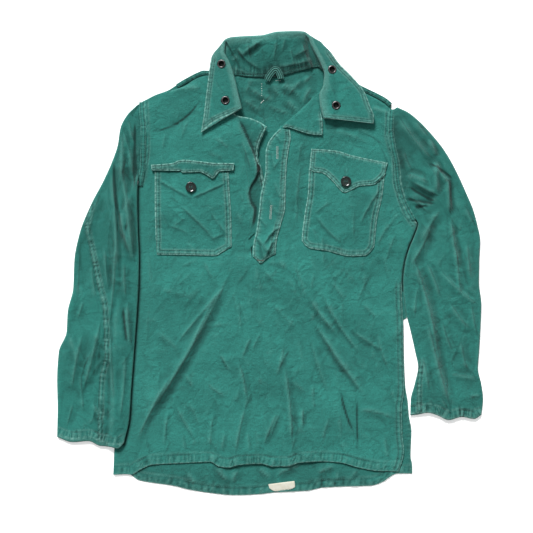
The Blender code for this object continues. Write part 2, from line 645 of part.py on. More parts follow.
def make_button(name, x, y, z):
    """A dished button with four thread holes."""
    radius = BUTTON_DIAMETER / 2
    top = BUTTON_THICKNESS
    profile = [(0, 0), (radius - 2.5, 0), (radius - 0.6, 0.9), (radius, top * 0.55),
               (radius - 0.5, top - 0.3), (radius - 1.5, top), (radius - 2.8, top - 0.5),
               (radius - 3.8, top - 1.0), (0, top - 1.0)]
    body = lathe(profile, 20, closed=False)
    body.normal_update()
    bmesh.ops.dissolve_limit(body, angle_limit=0.01, verts=body.verts, edges=body.edges)
    seat(body, (x, y, z), Vector((0, 0, 1)))
    button = finish(body, name, BUTTON)
    holes = bmesh.new()
    for side_x in (-1, 1):
        for side_y in (-1, 1):
            made = bmesh.ops.create_cone(holes, cap_ends=True, segments=8, radius1=1.0,
                                         radius2=1.0, depth=9.0)
            bmesh.ops.translate(holes, verts=made["verts"],
                                vec=(x + 1.9 * side_x, y + 1.9 * side_y, z + 2))
    guide = finish(holes, name + ".guide", BUTTON)
    guide.hide_render = True
    guide.display_type = 'WIRE'
    trim(button, guide, 'DIFFERENCE')
    return button


def make_buttons():
    for name, x, y, part, plies in BUTTONS:
        make_button(name, x, y, front_height(x, y, part) + plies * LAYER + 2 * GAP)


def ribbon(name, path, width, base, height, mat):
    """A strip along a path, slightly domed, lying at a base height."""
    bm = bmesh.new()
    profile = [(-0.5, 0.0), (-0.5, 0.55), (-0.2, 1.0), (0.2, 1.0), (0.5, 0.55), (0.5, 0.0)]
    rings = []
    for i, (x, y) in enumerate(path):
        before = path[max(i - 1, 0)]
        after = path[min(i + 1, len(path) - 1)]
        run = Vector((after[0] - before[0], after[1] - before[1], 0)).normalized()
        side = Vector((-run.y, run.x, 0))
        rings.append([bm.verts.new(Vector((x, y, base + up * height)) + side * across * width)
                      for across, up in profile])
    count = len(profile)
    for ring, following in zip(rings, rings[1:]):
        for i in range(count):
            j = (i + 1) % count
            bm.faces.new((ring[i], ring[j], following[j], following[i]))
    bm.faces.new(rings[0])
    bm.faces.new(reversed(rings[-1]))
    bmesh.ops.triangulate(bm, faces=bm.faces)
    return finish(bm, name, mat)


def make_shoulders():
    for name, path in (("shoulder_left", SHOULDER_LEFT), ("shoulder_right", SHOULDER_RIGHT)):
        ribbon(name, path, SHOULDER_WIDTH, WALL + GAP, SHOULDER_HEIGHT, CLOTH)


def make_hanger_loop():
    """A flat tape bent into an arch on the inside of the collar, its two ends at the neck seam."""
    tape = 9.0
    thickness = 1.4
    half_span = 13.5
    middle_x = 8.5
    foot_y = 339.5
    straight = 6.0
    foot_height = 6.92
    lean = 0.24            # the collar behind it rises by this much for each millimetre
    path = [(middle_x - half_span, foot_y)]
    for step in range(9):
        angle = math.pi * (1 - step / 8)
        path.append((middle_x + half_span * math.cos(angle),
                     foot_y + straight + half_span * math.sin(angle) * 0.75))
    path.append((middle_x + half_span, foot_y))
    bm = bmesh.new()
    rings = []
    for i, (x, y) in enumerate(path):
        before = Vector((*path[max(i - 1, 0)], 0))
        after = Vector((*path[min(i + 1, len(path) - 1)], 0))
        run = (after - before).normalized()
        side = Vector((-run.y, run.x, 0)) * tape / 2
        ring = []
        for across, up in ((-1, 0), (-1, 1), (1, 1), (1, 0)):
            point = Vector((x, y, 0)) + side * across
            base = foot_height + (point.y - foot_y) * lean
            ring.append(bm.verts.new((point.x, point.y, base + thickness * up)))
        rings.append(ring)
    for ring, following in zip(rings, rings[1:]):
        for i in range(4):
            j = (i + 1) % 4
            bm.faces.new((ring[i], ring[j], following[j], following[i]))
    bm.faces.new(rings[0])
    bm.faces.new(reversed(rings[-1]))
    bmesh.ops.triangulate(bm, faces=bm.faces)
    return finish(bm, "hanger_loop", CLOTH)


def make_label():
    bm = bmesh.new()
    base = WALL + GAP
    face = bm.faces.new([bm.verts.new((x, y, base)) for x, y in LABEL])
    raised = bmesh.ops.extrude_face_region(bm, geom=[face])
    verts = [item for item in raised["geom"] if isinstance(item, bmesh.types.BMVert)]
    bmesh.ops.translate(bm, verts=verts, vec=(0, 0, LABEL_WALL))
    return finish(bm, "label", TAPE)


# ---------------------------------------------------------------- the shirt

for item in list(bpy.data.objects):
    bpy.data.objects.remove(item, do_unlink=True)

CLOTH = material("green_cotton", (0.035, 0.185, 0.145), 0.9)
BUTTON = material("dark_button", (0.006, 0.016, 0.014), 0.25)
METAL = material("eyelet_metal", (0.35, 0.34, 0.32), 0.35, 1.0)
TAPE = material("label_tape", (0.86, 0.85, 0.74), 0.85)

make_back()
make_front()
make_on_front()
make_sleeve("sleeve_left", SLEEVE_LEFT, SLEEVE_LEFT_FOLDS, UNDERARM_LEFT)
make_sleeve("sleeve_right", SLEEVE_RIGHT, SLEEVE_RIGHT_FOLDS, UNDERARM_RIGHT)
make_eyelets(make_collar())
make_buttons()
make_shoulders()
make_hanger_loop()
make_label()
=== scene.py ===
"""Builds the visual model of a washed cotton field shirt that lies flat with its front facing up.

Sizes in the tables are in millimetres: +X to the viewer's right, +Y towards the collar, +Z up from the
surface. Left and right are the viewer's. Every cloth piece is a grid laid over its pattern piece and
given its thickness. Seams, puckers and creases are laid over it from short tables, and stitches are
placed along the same seams.
"""
import math
from collections import namedtuple

import bpy
import bmesh
import numpy as np
from mathutils import Matrix, Vector
from mathutils.bvhtree import BVHTree


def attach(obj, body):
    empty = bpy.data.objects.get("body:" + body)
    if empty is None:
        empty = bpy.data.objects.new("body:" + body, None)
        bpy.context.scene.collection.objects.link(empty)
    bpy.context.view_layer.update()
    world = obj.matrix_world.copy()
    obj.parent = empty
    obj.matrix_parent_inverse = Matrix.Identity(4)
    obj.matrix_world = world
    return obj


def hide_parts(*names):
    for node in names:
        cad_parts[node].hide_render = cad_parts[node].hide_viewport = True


bl_info = {
    "name": "Field Shirt",
    "version": (1, 0, 0),
    "blender": (4, 5, 0),
    "location": "3D View > Sidebar > Shirt",
    "description": "Builds a washed cotton field shirt, laid flat",
    "category": "Object",
}

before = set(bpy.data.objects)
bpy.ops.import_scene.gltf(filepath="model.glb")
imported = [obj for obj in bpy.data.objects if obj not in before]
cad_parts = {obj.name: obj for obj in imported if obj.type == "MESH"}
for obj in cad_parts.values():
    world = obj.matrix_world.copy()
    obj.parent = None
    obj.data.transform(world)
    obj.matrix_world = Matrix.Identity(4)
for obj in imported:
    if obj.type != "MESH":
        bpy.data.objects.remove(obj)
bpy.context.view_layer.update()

MM = 0.001
BODY = "root"
SHIFT = (-1.0, 1.53)        # from the drawing's origin to the middle of the shirt

# Heights of the cloth above the surface, millimetres
WALL = 1.5
LABEL_WALL = 1.0
GAP = 0.35                  # between pieces that lie on each other
LAYER = 1.85                # how far one piece on another is raised: a wall and a gap
SIDE_HEIGHT = 3.6
BODY_HEIGHT = 6.8
SIDE_FADE_LEFT = 60.0
SIDE_FADE_RIGHT = 45.0
SHOULDER_START = 110.0
SHOULDER_DROP = 2.6
SHOULDER_FADE = 7.0
HEM_DROP = 2.4
HEM_FADE = 40.0
SLIT_FOOT = 9.0
SLIT_HEM = -30.0
SLIT_OVERLAP_END = 165.0
SLIT_OVER_HEIGHT = 7.6
PLACKET_LOOSE = 0.9
UNDER_STAND = 6.0           # how far the back reaches under the collar's stand
SPARE = 7.0                 # how far the back shows beside the front, under the right sleeve

# The pieces' sizes, across and up, and the short steps of a grid at a folded edge
FRONT_HALF = (255, 650)
BACK_SIZE = (500, 740)
SLEEVE_SIZE = (140.0, 640)
COLLAR_LENGTH = 560
LABEL_SIZE = (46, 14)
EDGE_STEP = 0.9
EDGE_ROUND = 2.2

# How much darker than the front each part is painted, 0 to 1. On the collar's stand, inside the neck
# and on the back's tail it is painted shade; the sleeves are simply painted darker.
SLEEVE_SHADE = 0.16
STAND_SHADE = 0.2
NECK_SHADE = 0.2
TAIL_SHADE = 0.27

# ---------------------------------------------------------------- pattern outlines

# Columns: y, x
LEFT_EDGE = [(-382, -281), (-333, -279), (-211, -272), (-67, -268), (0, -265), (50, -262.5),
             (80, -257), (110, -246), (130, -240), (149, -235), (169, -231), (211, -226.5),
             (251, -227), (290, -229)]
RIGHT_EDGE = [(-375, 233), (-338, 242), (-309, 239), (-263, 238), (-229, 242), (-166, 241),
              (-105, 240), (-54, 238), (-36, 238), (-18, 239), (0, 241.5), (17, 246),
              (34, 252), (52, 260), (70, 265), (92, 250.4), (121, 239), (149, 232), (185, 231),
              (208, 223), (231, 218), (254, 219), (273, 219)]
BACK_RIGHT_EDGE = [(-379, 257), (-365, 257), (-347, 254), (-301, 255.5), (-275, 251), (-250, 249),
                   (-221, 244.5), (-166, 242), (-105, 241), (-54, 238)] + RIGHT_EDGE[8:]

# Columns: x, y
FRONT_HEM = [(-281, -381), (-257, -380), (-249, -381), (-231, -371), (-211, -363), (-153, -360),
             (-106, -358), (-91, -366), (-75, -368), (-53, -363), (-17, -361), (7, -366),
             (30, -366), (53, -359), (90, -357), (124, -359), (159, -368), (193, -374), (233, -375)]
BACK_HEM = [(-281, -377), (-255, -379), (-235, -391), (-208, -396), (-172, -401), (-144, -408),
            (-106, -414), (-60, -418), (-17, -416), (9, -413), (67, -410), (99, -404),
            (147, -402), (181, -401), (204, -394), (215, -386), (230, -379), (257, -379)]
FRONT_TOP_LEFT = [(-229, 290), (-206, 301), (-193, 306), (-182, 309), (-165, 313), (-150, 319),
                  (-139, 327), (-125, 334), (-112, 337), (-100, 325), (-80, 292), (-66, 270),
                  (-57, 264), (-36, 260), (-18, 253), (-4, 244)]
FRONT_TOP_RIGHT = [(19, 244), (40, 261), (66, 285), (91, 308), (105, 315), (125, 319),
                   (145, 317), (168, 307), (188, 297), (197, 292), (211, 281), (219, 273)]
BACK_TOP = [(-229, 290), (-206, 302), (-182, 311), (-155, 329), (-130, 342), (-119, 346),
            (-108, 346), (-90, 341), (-67, 336), (-44, 333), (-14, 332), (14, 333), (55, 344),
            (93, 353), (127, 343), (162, 320), (186, 309), (209, 297), (219, 289)]

# The slit under the placket. Columns: y, x
SLIT_LEFT = [(9, -32), (26, -33), (43, -16), (60, -2), (90, 5), (120, -2), (140, -8), (157, -12),
             (172, -15), (192, -21), (209, -19), (230, -11), (245, -4)]
SLIT_RIGHT = [(9, -32), (26, -31), (60, -25), (92, -20), (121, -17), (143, -12), (168, -8),
              (197, -8), (215, -3), (229, 6), (243, 19)]

# The edge of the loose fold beside the slit, which hides most of the placket's button
FRONT_FOLD = [(-58.5, 263), (-40, 222), (-27, 192), (-22.5, 178), (-21.5, 162), (-26, 150), (-34, 137),
              (-37, 124), (-33, 105), (-27, 97), (-32, 59)]

# Height of the front's side edges. Columns: y, z
LEFT_EDGE_HEIGHT = [(-382, 3.6), (150, 3.6), (195, 6.4), (270, 5.6), (290, 4.0)]
RIGHT_EDGE_HEIGHT = [(-375, 3.6), (60, 3.6), (110, 6.2), (250, 5.6), (273, 4.2)]

# Pieces on the front, each between four edges: left and right (y, x), bottom and top (x, y)
POCKET_LEFT = {
    "left": [(13, -202), (58, -205), (117, -206), (166, -206)],
    "right": [(13, -68), (28, -68), (87, -69), (132, -72), (166, -74)],
    "bottom": [(-206, 15), (-150, 14), (-98, 13), (-84, 20), (-68, 29)],
    "top": [(-206, 164), (-74, 164)]}
POCKET_RIGHT = {
    "left": [(12, 60), (41, 58), (87, 63), (127, 69), (171, 71)],
    "right": [(12, 186), (29, 188), (79, 193), (119, 202), (160, 207)],
    "bottom": [(58, 40), (65, 31), (73, 26), (101, 22), (146, 12), (172, 13), (181, 19), (188, 30)],
    "top": [(71, 171), (207, 160)]}
FLAP_RIGHT = {
    "left": [(126, 72), (169, 72), (205, 75)],
    "right": [(126, 208), (160, 208), (180, 212)],
    "bottom": [(72, 167), (82, 163), (93, 162), (111, 149), (124, 134), (134, 126), (149, 132),
               (162, 138), (186, 140), (200, 150), (208, 160)],
    "top": [(75, 205), (117, 202), (149, 193), (212, 180)]}
FLAP_LEFT = {
    "left": [(162, -211), (179, -213)],
    "right": [(151, -66), (181, -63)],
    "bottom": [(-211, 166), (-160, 165), (-156, 162), (-126, 163), (-112, 157), (-102, 151),
               (-96, 157), (-91, 164), (-66, 166)],
    "top": [(-213, 176), (-175, 179), (-163, 184), (-154, 185), (-123, 182), (-94, 179), (-64, 179)]}
PLACKET_OVER = {
    "left": [(-1, -30), (12, -30), (32, -29), (55, -24), (92, -19), (121, -16), (143, -11), (168, -7),
             (196, -7), (214, -3), (228, 6), (241, 19)],
    "right": [(-1, 11), (16, 11), (41, 13), (71, 21), (100, 28), (139, 29), (178, 31), (207, 35),
              (226, 38), (241, 36)],
    "bottom": [(-30, 12), (-22, 5), (-16, -1), (-5, 8), (11, 16)],
    "top": [(19, 241), (28, 240), (38, 239)]}
PLACKET_UNDER = {
    "left": [(40, -38), (90, -34), (130, -36), (170, -42), (195, -44), (225, -36), (249, -21)],
    "right": [(40, -30), (56, -14), (66, -4), (90, 3), (120, -4), (140, -10), (157, -14), (172, -17),
              (192, -23), (209, -21), (230, -13), (243, -7), (249, -12)],
    "bottom": [(-40, 42), (-28, 48), (-14, 56), (3, 66)],
    "top": [(-36, 236), (-20, 249), (-7, 243)]}
LAPEL = {
    "left": [(229, 20), (241, 22), (259, 42), (282, 66), (298, 84)],
    "right": [(229, 95), (252, 95), (282, 89), (298, 85)],
    "bottom": [(20, 243), (30, 243), (42, 240), (68, 232), (84, 229.5), (95, 229.5)],
    "top": [(66, 297), (86, 298)]}
LABEL = {
    "left": [(-411, 2), (-406, 0), (-398, -2)],
    "right": [(-411, 44), (-403, 46), (-392, 45)],
    "bottom": [(-2, -405), (7, -410.5), (22, -409), (41, -406), (46, -403)],
    "top": [(-2, -398), (20, -395), (45, -392)]}
SHOULDER_LEFT = [(-166, 318), (-153, 326), (-142, 332), (-129, 338.5), (-118, 342.3), (-108, 342)]
SHOULDER_RIGHT = [(158, 318), (170, 312), (186, 304.5), (197, 299), (209, 292), (218, 284)]

# Sleeves, from shoulder to cuff. Columns: place along (0 to 1), outer x, y, inner x, y
SLEEVE_LEFT = [
    (0.00, -239, 283, -229.8, 287), (0.04, -256, 266, -228, 268), (0.09, -268, 243, -227.8, 243),
    (0.15, -273, 212, -227.6, 212), (0.21, -284, 180, -230.5, 178), (0.27, -300, 145, -236.2, 148),
    (0.34, -320, 107, -237, 108), (0.42, -341, 55, -236, 60), (0.50, -351, 5, -234, 10),
    (0.58, -353, -45, -235, -42), (0.64, -363, -88, -238, -92), (0.70, -365, -124, -241, -134),
    (0.76, -379, -160, -244, -176), (0.84, -382, -210, -248, -228), (0.92, -381, -262, -251.5, -280),
    (1.00, -382, -316, -261, -325)]
SLEEVE_RIGHT = [
    (0.00, 230, 280, 220.4, 274), (0.04, 249, 271, 220.2, 256), (0.09, 270, 254, 219.2, 232),
    (0.14, 291, 232, 224.0, 208), (0.19, 312, 206, 232.0, 186), (0.24, 328, 180, 233.0, 152),
    (0.29, 343, 150, 240.6, 121), (0.34, 355, 123, 253.2, 92), (0.385, 366, 97, 266.8, 70),
    (0.43, 374, 68, 260.5, 49), (0.48, 379, 40, 251.5, 27), (0.54, 377.5, 5, 243.7, -2),
    (0.61, 377, -35, 240.3, -36), (0.68, 381, -75, 243.8, -80), (0.75, 379.3, -120, 254, -124),
    (0.82, 377, -160, 262, -160), (0.87, 375, -189, 267, -187), (0.92, 381, -216, 261, -216),
    (0.96, 384, -240, 254, -243), (1.00, 381, -268, 253, -271)]
UNDERARM_LEFT = 0.27
UNDERARM_RIGHT = 0.385
SLEEVE_HEIGHT = 5.8
SLEEVE_SWELL = 1.6
SLEEVE_SIDE = 2.8
SLEEVE_ROUND = 3.6          # how wide a sleeve's round side is
SLEEVE_LOWEST = 4.1         # least height of a sleeve's top
BODY_LIFT = 6.0
# How far each cuff's edge hangs below a straight line. Columns: place across (0 outer, 1 inner), drop
CUFF_LEFT = [(0.0, -3), (0.22, 4), (0.48, 0), (0.65, 7), (0.8, 7), (0.9, 9), (1.0, -2)]
CUFF_RIGHT = [(0.0, 5), (0.1, 12), (0.28, 8), (0.46, 13), (0.62, 4), (0.76, -1), (0.9, 2), (1.0, 3)]

# Collar. Columns: seam x, y, z, fold x, y, z, outer edge x, y, z
COLLAR = [
    (-66, 267, 9.2, -50, 276, 13.5, -123, 233, 13.0),
    (-72, 291, 9.0, -56, 300, 13.8, -118, 262, 13.2),
    (-76, 317, 8.0, -61, 322, 14.2, -113.5, 300, 13.2),
    (-72, 332, 6.0, -66, 340, 15.0, -110, 326, 13.0),
    (-64, 337.5, 4.0, -73, 359, 16.0, -107.5, 347, 12.0),
    (-56, 337, 3.2, -82, 379, 16.5, -104, 367, 9.0),
    (-45, 335.5, 3.0, -81, 396, 16.5, -91, 384, 4.5),
    (-33, 334.5, 3.0, -69, 403, 16.5, -72, 372, 1.2),
    (-16, 333.7, 3.0, -45, 405, 16.5, -50, 363, 1.1),
    (2, 334.2, 3.0, -15, 406.5, 16.5, -20, 360, 1.1),
    (22, 336.5, 3.0, 15, 413, 17.0, 10, 362, 1.1),
    (44, 342.5, 3.0, 45, 414, 17.0, 45, 365, 1.1),
    (62, 347.2, 3.2, 61, 413, 17.5, 70, 376, 1.5),
    (73, 350, 3.7, 70, 405, 17.5, 88, 398, 6.0),
    (81, 352, 4.4, 75, 392, 17.5, 99, 388, 9.5),
    (87, 353, 5.0, 82, 378, 17.5, 108, 379, 11.0),
    (94, 348, 6.5, 93, 357, 17.0, 124, 357, 12.0),
    (103, 332, 8.0, 99, 338, 16.0, 148, 333, 12.8),
    (109, 316, 9.0, 97, 318, 15.0, 169, 308, 13.2),
    (108, 297, 9.2, 90, 300, 14.5, 180, 281, 13.2),
    (112, 277, 9.2, 92, 280, 14.0, 187, 263, 13.2),
    (118, 257, 9.2, 98, 258, 13.6, 186, 249.5, 12.8)]
COLLAR_WALL = 2.0
FOLD_RADIUS = 2.6

# ---------------------------------------------------------------- folds and creases

# Columns: upper end x, y, lower end x, y, bow, rise, half width on its left, on its right
SHOULDER_ROLLS = [
    (-182, 307, -122, 314, -4, 3.4, 9, 9), (181, 281, 222, 271, 2, 2.8, 8, 8)]
HOLLOWS = [
    (-222, 236, -122, 297, 16, -2.4, 13, 13), (157, -240, 158, -345, 0, -1.6, 11, 11)]
FRONT_CREASES = [
    (-67, -8, -216, -272, -6, 4.6, 15, 7), (-176, -200, -252, -346, 3, 4.4, 16, 9),
    (-75, -37, -170, -149, 2, 2.2, 6, 4), (-91, -48, -143, -157, 2, 1.6, 8, 5),
    (-55, -68, -50, -120, 2, 1, 4, 3), (-32, -131, -50, -172, 1, 1.3, 5, 3),
    (-91, -160, -70, -195, 0, 1.5, 2.5, 5), (-58, -172, -41, -252, -3, 1.8, 9, 5),
    (-41, -252, -61, -344, 3, 2, 10, 6), (-153, -198, -136, -224, 0, 1, 3, 4),
    (-182, -264, -190, -333, 1, 1.3, 6, 3), (-170, -252, -130, -321, 2, 1.5, 4, 8),
    (-147, -247, -125, -293, -1, 0.9, 3, 5), (34, -155, 11, -206, 2, 1.4, 7, 4),
    (25, -177, 39, -330, -4, 2.2, 9, 5), (14, -266, -12, -330, 1, 1.5, 7, 4),
    (-32, -229, -47, -264, 0, 1, 5, 3), (-100, -266, -107, -336, 2, 1.2, 6, 3.5),
    (-118, 6, -98, -34, 2, 1.2, 3, 5), (-127, 6, -162, -8, 1, 1, 4, 3),
    (-139, -17, -167, -43, 1, 0.8, 5, 4), (-193, -48, -173, -51, 0, 0.8, 3, 3),
    (-61, -109, -116, -115, 1, 0.8, 5, 4), (78, -86, 78, -106, 0, 1.2, 6, 3),
    (78, -103, 175, -244, 2, 3.4, 3.5, 12), (69, -58, 124, -131, 3, 2.6, 3.5, 8),
    (92, -51, 166, -166, 5, 2.2, 3, 8), (109, -31, 135, -68, -1, 1.4, 3, 6),
    (144, -117, 210, -160, 2, 1.4, 3.5, 7), (166, -71, 195, -100, 1, 1.2, 3, 6),
    (69, -120, 109, -241, 3, 0.9, 3, 6), (60, -258, 58, -298, 0, 1.8, 7, 3),
    (20, -266, 0, -315, 1, 1.5, 7, 4), (129, -226, 155, -307, 4, -1.6, 9, 12),
    (155, -264, 230, -281, -5, 1.4, 7, 10), (138, -8, 104, -34, 0, 0.9, 6, 4),
    (184, -14, 155, -77, 2, 1.2, 7, 4), (95, 23, 98, -5, 0, 0.9, 5, 3),
    (80, -14, 75, -48, 0, 0.9, 6, 4), (26, -149, 17, -189, 0, 1.2, 6, 4),
    (37, -209, 66, -232, 1, 1, 4, 6), (78, -215, 80, -264, 1, 0.9, 6, 4),
    (-8, 2, 37, -9, -2, 1, 3, 5), (-14, -5, 12, -38, 1, 1.1, 3, 5), (-24, -5, -14, -52, 1, 1, 5, 3),
    (-35, -2, -60, -38, -1, 1, 5, 3), (14, 9, 32, -16, 0, 1, 3, 5), (40, 2, 66, -67, -3, 1.2, 5, 8),
    (1, -67, 55, -121, 3, 0.9, 5, 8), (-14, -121, -32, -160, 1, 0.9, 6, 4),
    (109, -157, 136, -196, 0, 0.9, 4, 6), (192, -121, 217, -196, 3, 1.1, 5, 8),
    (-215, -67, -220, -148, 2, 0.9, 8, 6), (-206, -121, -161, -160, -2, 0.8, 5, 8),
    (-116, -211, -75, -243, 2, 1, 4, 7), (109, -274, 94, -319, 1, 1, 6, 4),
    (46, -311, 39, -337, 0, 0.9, 5, 3), (-80, -301, -86, -340, 0, 1, 5, 3),
    (-40, -301, -35, -337, 0, 0.9, 5, 3), (-158, -304, -150, -340, 0, 1, 5, 3),
    (-224, -304, -215, -346, 1, 1, 6, 4), (127, -319, 138, -347, 0, 0.9, 3, 5),
    (206, -311, 213, -355, 0, 1, 6, 4), (217, -220, 231, -265, 1, 1, 4, 6),
    (203, 23, 220, -40, 2, 1.2, 5, 8), (213, 70, 192, 32, 0, 1.4, 6, 4),
    (236, 93, 206, 56, 1, 1.2, 6, 3), (228, 56, 210, 2, 2, 1.2, 6, 4),
    (-60, 95, -44, 57, 0, 1.3, 3, 5), (-53, 128, -46, 106, 0, 1, 3, 4),
    (-220, 86, -213, 32, 1, 0.8, 6, 5), (-219, 23, -210, -40, 1, 0.9, 7, 5),
    (-224, 180, -212, 113, 1, 0.9, 6, 5), (55, 176, 48, 59, 2, 1.4, 6, 5),
    (60, 221, 50, 176, 1, 1.2, 6, 4), (-186, 236, -192, 203, 1, 1, 5, 4),
    (-143, 261, -159, 221, 2, 0.9, 6, 5), (-102, 227, -71, 203, -2, 1.3, 6, 8),
    (-114, 200, -78, 189, 1, 0.8, 5, 6), (-53, 225, -32, 164, -2, 2.2, 4, 7),
    (109, 236, 184, 211, -6, 1.8, 7, 9), (148, 243, 213, 203, -7, 1.6, 6, 8),
    (195, 221, 224, 149, -3, 1.2, 4, 6), (55, 243, 66, 207, 0, 0.8, 4, 5)]
SLEEVE_LEFT_CREASES = [
    (-267, 247, -244, 148, -4, 2.4, 10, 4), (-242, 256, -242, 128, 0, -2.0, 6, 6),
    (-276, 151, -243, 0, 6, 2.2, 4, 10), (-278, 184, -272, 92, 2, -2.0, 3, 6),
    (-267, 240, -265, 138, -2, 4.5, 9, 5), (-268, 180, -243, -10, -3, 4.5, 10, 7),
    (-283, 166, -273, -18, -2, 4, 13, 3.5), (-276, 34, -288, -112, -2, 3.4, 12, 5),
    (-303, 131, -327, 41, 3, 1.6, 8, 6), (-255, -67, -246, -160, 2, 3, 8, 6),
    (-264, -77, -256, -146, 1, -2, 5, 4), (-258, -160, -269, -283, -2, 2.6, 9, 8),
    (-302, -94, -339, -238, -3, 2.6, 11, 7), (-334, -121, -356, -229, 2, 2.4, 10, 7),
    (-363, -121, -340, -188, 0, 1.6, 6, 6), (-340, -188, -334, -274, 1, 1.4, 8, 6),
    (-284, -121, -280, -247, 2, 2.2, 8, 6), (-320, -247, -294, -293, 1, 1.4, 7, 5),
    (-352, -247, -366, -297, 0, 1.2, 7, 5), (-296, 31, -289, -52, 1, 1.8, 6, 4),
    (-320, 2, -312, -67, 1, 1.2, 7, 5), (-341, 23, -345, -67, 1, 1.6, 9, 7),
    (-334, -67, -346, -103, 0, 1.2, 6, 5), (-262, 2, -258, -67, 0, 1.6, 6, 5),
    (-251, 239, -237, 203, 1, 1, 6, 5), (-256, 261, -244, 221, 0, 1.2, 6, 5),
    (-305, -301, -262, -319, 2, 1, 6, 4)]
SLEEVE_RIGHT_CREASES = [
    (244, 118, 301, 108, 2, -2.0, 3, 5), (260, 100, 286, 103, 0, -1.8, 5, 5),
    (285, 178, 328, 150, -2, -1.6, 6, 3), (328, 150, 327, 81, 2, -1.6, 3, 7),
    (252, 150, 308, 121, 3, 2.8, 4, 9), (250, 138, 298, 110, 2, -2.2, 7, 7),
    (246, 122, 286, 90, -3, 1.8, 4, 8), (230, 265, 294, 184, 5, 3.6, 10, 6),
    (294, 184, 323, 142, 2, 4.6, 12, 4.5), (320, 157, 328, 85, 1, 4.2, 11, 3),
    (260, 257, 285, 225, 0, 2, 7, 5), (287, 224, 300, 189, 0, 3.2, 8, 3),
    (240, 203, 256, 164, 2, 1.4, 8, 6), (242, 157, 285, 142, -3, 3, 9, 6),
    (300, 180, 302, 121, 2, 4, 9, 4.5), (308, 98, 270, 36, 2, 3.2, 10, 7),
    (292, 74, 250, -8, -3, 3.4, 9, 8), (325, 84, 339, -8, 2, 3.6, 10, 5),
    (334, 30, 342, -58, 1, 2.8, 10, 7), (350, 103, 372, 61, 1, 1.6, 7, 4),
    (354, 41, 361, -31, 1, 1.6, 8, 6), (254, 20, 304, -176, -5, 4.0, 16, 7),
    (280, 2, 307, -67, -2, 1.8, 8, 5), (280, -96, 326, -268, 2, 4.0, 14, 7),
    (305, -11, 375, -77, 4, 2.6, 9, 5), (321, -67, 361, -121, 3, 1.6, 9, 6),
    (309, -103, 328, -160, 2, 1.6, 9, 6), (322, -198, 374, -207, 1, 1.4, 6, 4),
    (382, -236, 357, -241, 0, 1.4, 5, 3), (307, -243, 321, -265, 0, 1.6, 5, 4),
    (271, -160, 285, -232, -2, 2.2, 7, 5), (343, -139, 354, -196, 1, 1.4, 8, 6),
    (285, -243, 300, -268, 0, 1.2, 5, 4), (267, -40, 260, -99, 2, 1.6, 8, 6),
    (361, -67, 375, -139, 2, 1.4, 8, 6)]
# Creases on the collar's inside, and on its turned-down leaves
STAND_CREASES = [
    (-4, 403, -52, 368, 3, 2.6, 11, 4), (-32, 405, -30, 390, 0, 1.6, 3, 6),
    (-58, 385, -46, 370, 0, 1.8, 3.5, 6), (82, 366, 8, 352, -2, 1.6, 7, 5),
    (72, 384, 40, 368, 1, 1.5, 9, 5), (-70, 362, -54, 372, 0, 1.6, 5, 4),
    (-62, 387, -14, 347, 4, 1.8, 4, 9), (-40, 398, -36, 362, 0, 1.0, 6, 4),
    (58, 398, 82, 340, 4, 2.2, 9, 4), (37, 388, 46, 350, 1, 1.2, 6, 5),
    (12, 400, 6, 362, -1, 1.2, 6, 4), (-22, 398, -30, 380, 0, 1.0, 5, 4),
    (30, 405, 22, 376, 1, 1.0, 5, 4), (70, 372, 76, 344, 0, 1.2, 6, 4),
    (-66, 352, -40, 344, 2, 1.2, 5, 5)]
LEAF_CREASES = [
    (-108, 262, -76, 258, -2, 0.8, 5, 5), (-98, 330, -78, 300, 3, 0.8, 8, 6),
    (128, 309, 152, 318, 0, 1.0, 6, 5), (104, 338, 118, 300, 3, 0.9, 8, 6),
    (126, 270, 160, 262, 1, 0.6, 6, 6)]
# Creases in the pocket bags and over the placket
POCKET_CREASES = [
    (-206, 153, -137, 115, 1, 1.5, 2.4, 6), (-70, 149, -145, 115, -1, 1.5, 6, 2.4),
    (-165, 107, -93, 34, -3, 1.6, 3.5, 9), (-108, 96, -72, 48, 2, 1.2, 3.5, 8),
    (-150, 82, -172, 66, 1, 0.9, 6, 4), (-186, 68, -142, 50, -3, 1.0, 4, 7),
    (-80, 52, -106, 42, 1, 0.9, 6, 4), (-116, 104, -98, 96, 0, 0.8, 5, 4),
    (-196, 100, -180, 62, 2, 0.8, 7, 5), (-150, 40, -132, 20, 0, 0.8, 5, 5),
    (203, 139, 160, 65, 3, 2.0, 9, 4), (82, 88, 135, 32, 4, 1.5, 4, 9),
    (94, 52, 97, 2, 0, 1.2, 6, 4), (112, 111, 76, 84, 2, 1.0, 8, 4),
    (152, 100, 152, 42, 2, 0.9, 7, 5), (76, 66, 90, 40, 1, 0.9, 6, 4),
    (176, 96, 186, 60, 1, 0.9, 6, 4)]
PLACKET_CREASES = [
    (8, 150, 24, 112, 2, 1.4, 4, 7), (-2, 120, 20, 84, 3, 1.4, 4, 7),
    (18, 66, -12, 30, 3, 2.6, 7, 3.5), (-24, 50, 4, 16, 2, 2.6, 3.5, 7),
    (8, 44, -8, 8, 1, 2.4, 6, 3), (24, 190, 6, 170, 1, 1.0, 6, 4), (-20, 86, -2, 62, 1, 1.0, 4, 6),
    (10, 232, 26, 214, 1, 1.3, 3, 6), (4, 206, 12, 160, 2, 1.2, 3, 7),
    (-16, 34, -6, 4, 1, 2.0, 3, 6)]
NECK_CREASES = [
    (-40, 318, 8, 292, 3, 1.4, 4, 9), (20, 320, 58, 296, -3, 1.3, 4, 9),
    (60, 330, 34, 300, 2, 1.6, 9, 4), (76, 318, 60, 284, 2, 1.8, 9, 5),
    (-50, 298, -12, 272, 2, 1.2, 4, 9), (-8, 286, 40, 268, 2, 1.0, 4, 9),
    (30, 296, 52, 270, 1, 1.2, 4, 8), (-30, 330, -44, 304, 1, 1.0, 7, 4),
    (82, 342, 62, 322, 2, 1.8, 8, 4), (2, 318, 20, 300, 1, 0.9, 4, 7)]
